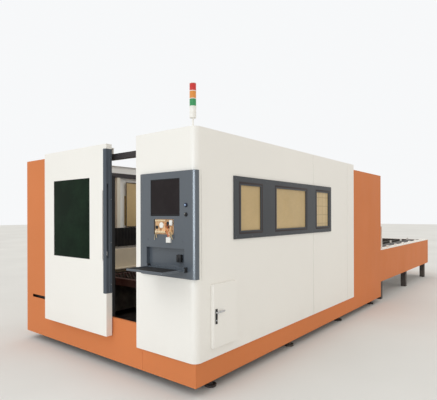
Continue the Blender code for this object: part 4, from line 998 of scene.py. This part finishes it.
class MACHINE_OT_fit_hatch(bpy.types.Operator):
    """Fit the hatch lever's dark end and the lock, with a black strip on it as painted shade of its keyway"""
    bl_idname = "machine.fit_hatch"
    bl_label = "Fit hatch details"

    def execute(self, context):
        middle = (LEVER_LOW + LEVER_HIGH) / 2
        Shape().box((middle.x - 0.002, LEVER_HIGH.y + GAP, middle.z - 0.006),
                    (LEVER_HIGH.x - 0.001, LEVER_HIGH.y + 0.005, middle.z + 0.006), 0.0015).place(
            "lever_end", "cabinet_lever", "rubber", "bare_steel")
        plate_low, plate_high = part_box("handle_plate")
        across = (plate_low.y + plate_high.y) / 2
        level = plate_low.z + 0.030
        Shape().cylinder((plate_high.x + 0.0021, across, level), 0.0085, 0.0036, "X", 24,
                         round_by=0.0008).place("hatch_lock", "cabinet_door", "chrome", "bare_steel")
        # The keyway is a thin black strip on the lock's face: painted shade of the key slot.
        Shape().box((plate_high.x + 0.0040, across - 0.0009, level - 0.005),
                    (plate_high.x + 0.0045, across + 0.0009, level + 0.005)).place(
            "hatch_keyway", "cabinet_door", "rubber", "black_coat")
        return {"FINISHED"}


class MACHINE_OT_dress_bed(bpy.types.Operator):
    """Bolt cover plates to the bed sides and set clips along their tops"""
    bl_idname = "machine.dress_bed"
    bl_label = "Dress the bed and its rails"

    def execute(self, context):
        count, end_margin, between, thick = 6, 0.12, 0.12, 0.006
        foot, head, bolt_inset = 0.16, 0.18, 0.03
        clip_count, clip_margin, clip_inset, clip_height = 30, 0.06, 0.035, 0.008
        half_width, half_length = 0.020, 0.010
        for side, sign in SIDES:
            rail_low, rail_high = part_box(f"y_rail_{side}")
            low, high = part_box(f"bed_side_{side}")
            outer = high.x if sign > 0 else low.x
            near, far = layer(outer + sign * GAP, sign, 0.0, thick)
            plates, clips, bolts = Shape(), Shape(), Shape()
            pitch = (high.y - low.y - 2 * end_margin) / count
            for index in range(count):
                start = low.y + end_margin + index * pitch
                stop = start + pitch - between
                plates.box((near, start, low.z + foot), (far, stop, high.z - head), 0.004)
                for corner in (start + bolt_inset, stop - bolt_inset):
                    for level in (low.z + foot + bolt_inset, high.z - head - bolt_inset):
                        bolts.bolt((far if sign > 0 else near, corner, level), 0.008, "X", sign)
            plates.place(f"bed_covers_{side}", "machine", "inner", "white_coat")
            bolts.place(f"bed_cover_bolts_{side}", "machine", "zinc", "bare_steel")
            middle = outer - sign * clip_inset
            for place in spread(rail_low.y + clip_margin, rail_high.y - clip_margin, clip_count):
                clips.box((middle - half_width, place - half_length, high.z + GAP),
                          (middle + half_width, place + half_length, high.z + clip_height), 0.002)
            clips.place(f"bed_clips_{side}", "machine", "black", "black_coat")
        return {"FINISHED"}


class MACHINE_OT_dress_gantry(bpy.types.Operator):
    """Lay the gantry's cable carrier and fit its bolts, the motor's cap and leads and the lens drawers"""
    bl_idname = "machine.dress_gantry"
    bl_label = "Dress gantry, carriage and head"

    def execute(self, context):
        self.lay_carrier()
        self.cap_motor()
        self.fit_drawers()
        return {"FINISHED"}

    def lay_carrier(self):
        top, middle = BEAM_HIGH.z, (BEAM_LOW.y + BEAM_HIGH.y) / 2 + 0.02
        margin, half, sheet, wall = 0.16, 0.052, 0.003, 0.030
        tray = Shape().box((BEAM_LOW.x + margin, middle - half, top + GAP),
                           (BEAM_HIGH.x - margin, middle + half, top + sheet))
        for hand in HANDS:
            edge = middle + hand * half
            tray.box((BEAM_LOW.x + margin, edge - sheet / 2, top + sheet),
                     (BEAM_HIGH.x - margin, edge + sheet / 2, top + wall))
        tray.place("gantry_chain_tray", "gantry", "grey", "white_coat")
        links = Shape()
        count, margin, half, link_share = 40, 0.18, 0.040, 0.86
        pitch = (BEAM_HIGH.x - BEAM_LOW.x - 2 * margin) / count
        for index in range(count):
            start = BEAM_LOW.x + margin + pitch * index
            links.box((start, middle - half, top + 0.004),
                      (start + pitch * link_share, middle + half, top + 0.036), 0.004)
        links.place("gantry_chain", "gantry", "rubber", "black_coat")
        bolts = Shape()
        for place in spread(BEAM_LOW.x + 0.20, BEAM_HIGH.x - 0.20, 18):
            bolts.bolt((place, BEAM_HIGH.y + GAP, top - 0.06), 0.008, "Y", 1.0)
        bolts.place("gantry_bolts", "gantry", "zinc", "bare_steel")

    def cap_motor(self):
        centre = (DRIVE_LOW + DRIVE_HIGH) / 2
        centre.z = DRIVE_HIGH.z
        motor = Shape().cylinder(centre + Vector((0.0, 0.0, 0.0105)), 0.030, 0.020, "Z", 28, round_by=0.002)
        motor.box(centre + Vector((0.010, -0.012, 0.021)), centre + Vector((0.034, 0.012, 0.045)), 0.002)
        motor.place("drive_motor_cap", "carriage", "black", "black_coat")
        leads = Shape()
        route = ((0.0, 0.016, 0.018), (-0.02, 0.030, 0.11), (-0.07, 0.075, 0.05), (-0.10, 0.085, -0.10))
        for shift in (-0.028, -0.014, 0.0):
            leads.tube([centre + Vector((shift + across, behind, above)) for across, behind, above in route],
                       0.006)
        leads.place("drive_leads", "carriage", "wire_dark", "black_coat", 80.0)

    def fit_drawers(self):
        drawers = Shape()
        for margin, proud, low, high, rounding in ((0.014, 0.010, 0.060, 0.092, 0.003),
                                                   (0.010, 0.006, 0.130, 0.240, 0.002)):
            drawers.box((HEAD_LOW.x + margin, HEAD_LOW.y - proud, HEAD_LOW.z + low),
                        (HEAD_HIGH.x - margin, HEAD_LOW.y - GAP, HEAD_LOW.z + high), rounding)
        drawers.place("lens_drawers", "cutting_head", "steel", "bare_steel")
        knobs = Shape()
        for hand in HANDS:
            knobs.cylinder(((HEAD_LOW.x + HEAD_HIGH.x) / 2 + hand * 0.026, HEAD_LOW.y - 0.0155,
                            HEAD_LOW.z + 0.076), 0.006, 0.010, "Y", 20, round_by=0.0015)
        knobs.place("lens_drawer_knobs", "cutting_head", "black", "black_coat")


class MACHINE_OT_dress_pallets(bpy.types.Operator):
    """Add the slats between the solid ones on both pallets, with their cut teeth"""
    bl_idname = "machine.dress_pallets"
    bl_label = "Add pallet slats"

    def execute(self, context):
        share = context.scene.machine_sizes.slat_pitch_share
        beam, count, thick, depth, tooth, teeth = 0.06, 20, 0.006, 0.085, 0.028, 24
        half = BED_INNER_HALF - 0.12 - beam - 0.0008
        for name in ("upper_pallet", "lower_pallet"):
            low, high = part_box(name)
            middle, top = (low.x + high.x) / 2, high.z
            pitch = (high.y - low.y - 2 * beam) / (count + 1)
            outline = [(middle - half, top - depth), (middle + half, top - depth),
                       (middle + half, top - tooth)]
            for index in range(teeth):
                right = middle + half - (2 * half) * index / teeth
                left = middle + half - (2 * half) * (index + 1) / teeth
                outline += [(right - (right - left) * 0.35, top - 0.001),
                            (right - (right - left) * 0.65, top - 0.001), (left, top - tooth)]
            slats = Shape()
            for index in range(count + 1):
                place = low.y + beam + pitch * (index + share)
                slats.prism(outline, place - thick / 2, place + thick / 2, "Y")
            slats.place(f"{name}_slats", name, "slat", "black_coat")
        return {"FINISHED"}


class MACHINE_OT_fit_feet(bpy.types.Operator):
    """Put lock nuts on the levelling feet, and side rollers, bolts and a post cap on the exchange table"""
    bl_idname = "machine.fit_feet"
    bl_label = "Fit feet and table details"

    def execute(self, context):
        nuts = Shape()
        for hand in HANDS:
            for behind in (0.30, 1.75, 3.20, 4.60):
                nuts.sleeve(spot(hand * 1.3397, behind, 0.083), 0.0225, 0.036, 0.018, "Z", 6)
        nuts.place("foot_nuts", "machine", "zinc", "slate_coat")
        bolts = Shape()
        for name, sign in (("table_strip_right", 1.0), ("table_strip_left", -1.0)):
            low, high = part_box(name)
            across = (low.x + high.x) / 2 + sign * 0.03
            for place in spread(low.y + 0.10, high.y - 0.10, 7):
                bolts.bolt((across, place, STRIP_TOP + GAP), 0.007, "Z", 1.0)
        bolts.place("table_strip_bolts", "machine", "zinc", "bare_steel")
        rollers, pins = Shape(), Shape()
        for hand in HANDS:
            for behind in (5.40, 6.20, 6.95, 7.75, 8.35):
                foot = spot(hand * 1.016, behind, 0.9001)
                pins.box(foot + Vector((-0.022, -0.034, 0.0)), foot + Vector((0.022, 0.034, 0.005)), 0.001)
                rollers.cylinder(foot + Vector((0.0, 0.0, 0.031)), 0.020, 0.048, "Z", 24, round_by=0.002)
                pins.cylinder(foot + Vector((0.0, 0.0, 0.0585)), 0.006, 0.006, "Z", 12)
        rollers.place("pallet_side_rollers", "machine", "plug", "white_coat")
        pins.place("side_roller_plates", "machine", "zinc", "bare_steel")
        post_low, post_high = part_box("guard_post")
        inset, thick = 0.001, 0.004
        Shape().box((post_low.x + inset, post_low.y + inset, post_high.z + GAP),
                    (post_high.x - inset, post_high.y - inset, post_high.z + thick), 0.0015).place(
            "guard_post_cap", "machine", "rubber", "black_coat")
        return {"FINISHED"}


# Stage

LIGHT_COLOUR = (0.8, 0.9, 1.0)
WORLD_COLOUR = (1.0, 0.97, 0.92)
BACKGROUND = (0.93, 0.94, 0.95)
FLOOR_HALF = 60.0
KEY_AIM = Vector((0.18, 0.66, -0.74))
KEY_ANGLE = radians(35)
CABIN_LIGHT_TURN = radians(64)
IMAGE_WIDTH = 437
CAMERA_RIGHT = 2.2851
CAMERA_FORWARD = 2.5472
CAMERA_ROLL = radians(0.146)
SHIFT_Y_PIXELS = 14.35


class MACHINE_OT_build_stage(bpy.types.Operator):
    """Set the floor, the soft light and the camera at the photograph's angle"""
    bl_idname = "machine.build_stage"
    bl_label = "Build the stage"

    def execute(self, context):
        scene, settings = context.scene, context.scene.machine_stage
        lay_floor(scene)
        light_world(scene, settings.world_strength)
        sun = bpy.data.lights.new("soft_key", "SUN")
        sun.energy = settings.sun_strength
        sun.angle = KEY_ANGLE
        sun.color = LIGHT_COLOUR
        key = add_item(scene, "soft_key", sun)
        key.rotation_euler = KEY_AIM.to_track_quat("-Z", "Y").to_euler()
        softbox(scene, "front_softbox", spot(1.1, -6.2, 1.9), (4.0, 2.6), settings.softbox_power)
        edge = softbox(scene, "edge_light", spot(3.5, -6.0, 1.7), (4.2, 3.2), settings.edge_light_power)
        edge.visible_diffuse = False
        cabin = softbox(scene, "cabin_light", spot(0.4, 2.4, 2.05), (1.4, 3.4), settings.cabin_light_power)
        cabin.rotation_euler = (0.0, CABIN_LIGHT_TURN, 0.0)
        cabin.visible_glossy = False
        place_camera(scene, settings)
        return {"FINISHED"}


def add_item(scene, name, data):
    item = bpy.data.objects.new(name, data)
    scene.collection.objects.link(item)
    return item


def softbox(scene, name, place, size, power):
    """A wide even light that faces the machine's front."""
    panel = bpy.data.lights.new(name, "AREA")
    panel.shape = "RECTANGLE"
    panel.size, panel.size_y = size
    panel.energy = power
    panel.color = LIGHT_COLOUR
    item = add_item(scene, name, panel)
    item.location = place
    item.rotation_euler = (pi / 2, 0.0, 0.0)
    return item


def lay_floor(scene):
    mesh = bpy.data.meshes.new("stage_floor")
    shape = bmesh.new()
    bmesh.ops.create_grid(shape, x_segments=1, y_segments=1, size=FLOOR_HALF)
    shape.to_mesh(mesh)
    shape.free()
    mesh.materials.append(floor_material())
    floor = add_item(scene, "stage_floor", mesh)
    floor.location.z = cad_box[0][2] - GAP


def floor_material():
    """A pale matt floor with a slow drift of tone."""
    material, graph, shader = new_material("Stage floor")
    tone = graph.band(graph.noise(graph.place(), 0.4, 3.0), 0.3, 0.7)
    graph.fill(shader, {"Base Color": graph.blend(tone, srgb(222, 222, 220), srgb(230, 230, 228)),
                        "Roughness": 0.8, "Specular IOR Level": 0.0})
    return material


def light_world(scene, strength):
    """Even light from all round, and a plain background where the camera sees it."""
    world = bpy.data.worlds.new("stage_world")
    world.use_nodes = True
    world.node_tree.nodes.clear()
    graph = Graph(world.node_tree)
    path = graph.add("ShaderNodeLightPath").outputs
    seen = graph.math("MAXIMUM", path["Is Camera Ray"], path["Is Transmission Ray"])
    light = graph.add("ShaderNodeBackground", {"Color": WORLD_COLOUR, "Strength": strength})
    shown = graph.add("ShaderNodeBackground", {"Color": BACKGROUND, "Strength": 1.0})
    mixed = graph.add("ShaderNodeMixShader", {0: seen, 1: light.outputs[0], 2: shown.outputs[0]})
    graph.add("ShaderNodeOutputWorld", {"Surface": mixed.outputs[0]})
    scene.world = world
    scene.view_settings.view_transform = "Standard"


def place_camera(scene, settings):
    """The camera where the photograph's vanishing points and the machine's size put it."""
    camera = bpy.data.cameras.new("photo_camera")
    camera.lens = settings.lens
    camera.sensor_width = 36.0
    camera.sensor_fit = "HORIZONTAL"
    camera.shift_y = SHIFT_Y_PIXELS / IMAGE_WIDTH
    camera.clip_end = 200.0
    item = add_item(scene, "photo_camera", camera)
    item.location = CORNER + Vector((CAMERA_RIGHT, -CAMERA_FORWARD, settings.eye_height))
    item.rotation_euler = (pi / 2, CAMERA_ROLL, settings.azimuth)
    scene.camera = item


class MACHINE_PT_panel(bpy.types.Panel):
    """Lists the machine's settings and steps in the sidebar"""
    bl_idname = "MACHINE_PT_panel"
    bl_label = "Laser cutting machine"
    bl_space_type = "VIEW_3D"
    bl_region_type = "UI"
    bl_category = "Laser Cutter"

    def draw(self, context):
        for group in (context.scene.machine_coats, context.scene.machine_sizes, context.scene.machine_stage):
            column = self.layout.column()
            for name in group.__annotations__:
                column.prop(group, name)
        for operator in OPERATORS:
            self.layout.operator(operator.bl_idname)


OPERATORS = (MACHINE_OT_coat_covers, MACHINE_OT_join_walls, MACHINE_OT_line_windows, MACHINE_OT_fit_console,
             MACHINE_OT_wire_board, MACHINE_OT_fit_door, MACHINE_OT_fit_signal, MACHINE_OT_fit_hatch,
             MACHINE_OT_dress_bed, MACHINE_OT_dress_gantry, MACHINE_OT_dress_pallets, MACHINE_OT_fit_feet,
             MACHINE_OT_build_stage)
CLASSES = (CoatColours, FinishSizes, StageSettings, *OPERATORS, MACHINE_PT_panel)


def register():
    for each in CLASSES:
        bpy.utils.register_class(each)
    bpy.types.Scene.machine_coats = bpy.props.PointerProperty(type=CoatColours)
    bpy.types.Scene.machine_sizes = bpy.props.PointerProperty(type=FinishSizes)
    bpy.types.Scene.machine_stage = bpy.props.PointerProperty(type=StageSettings)


def unregister():
    del bpy.types.Scene.machine_coats
    del bpy.types.Scene.machine_sizes
    del bpy.types.Scene.machine_stage
    for each in reversed(CLASSES):
        bpy.utils.unregister_class(each)


def main():
    register()
    for operator in OPERATORS:
        family, name = operator.bl_idname.split(".")
        getattr(getattr(bpy.ops, family), name)()


if __name__ == "__main__":
    main()
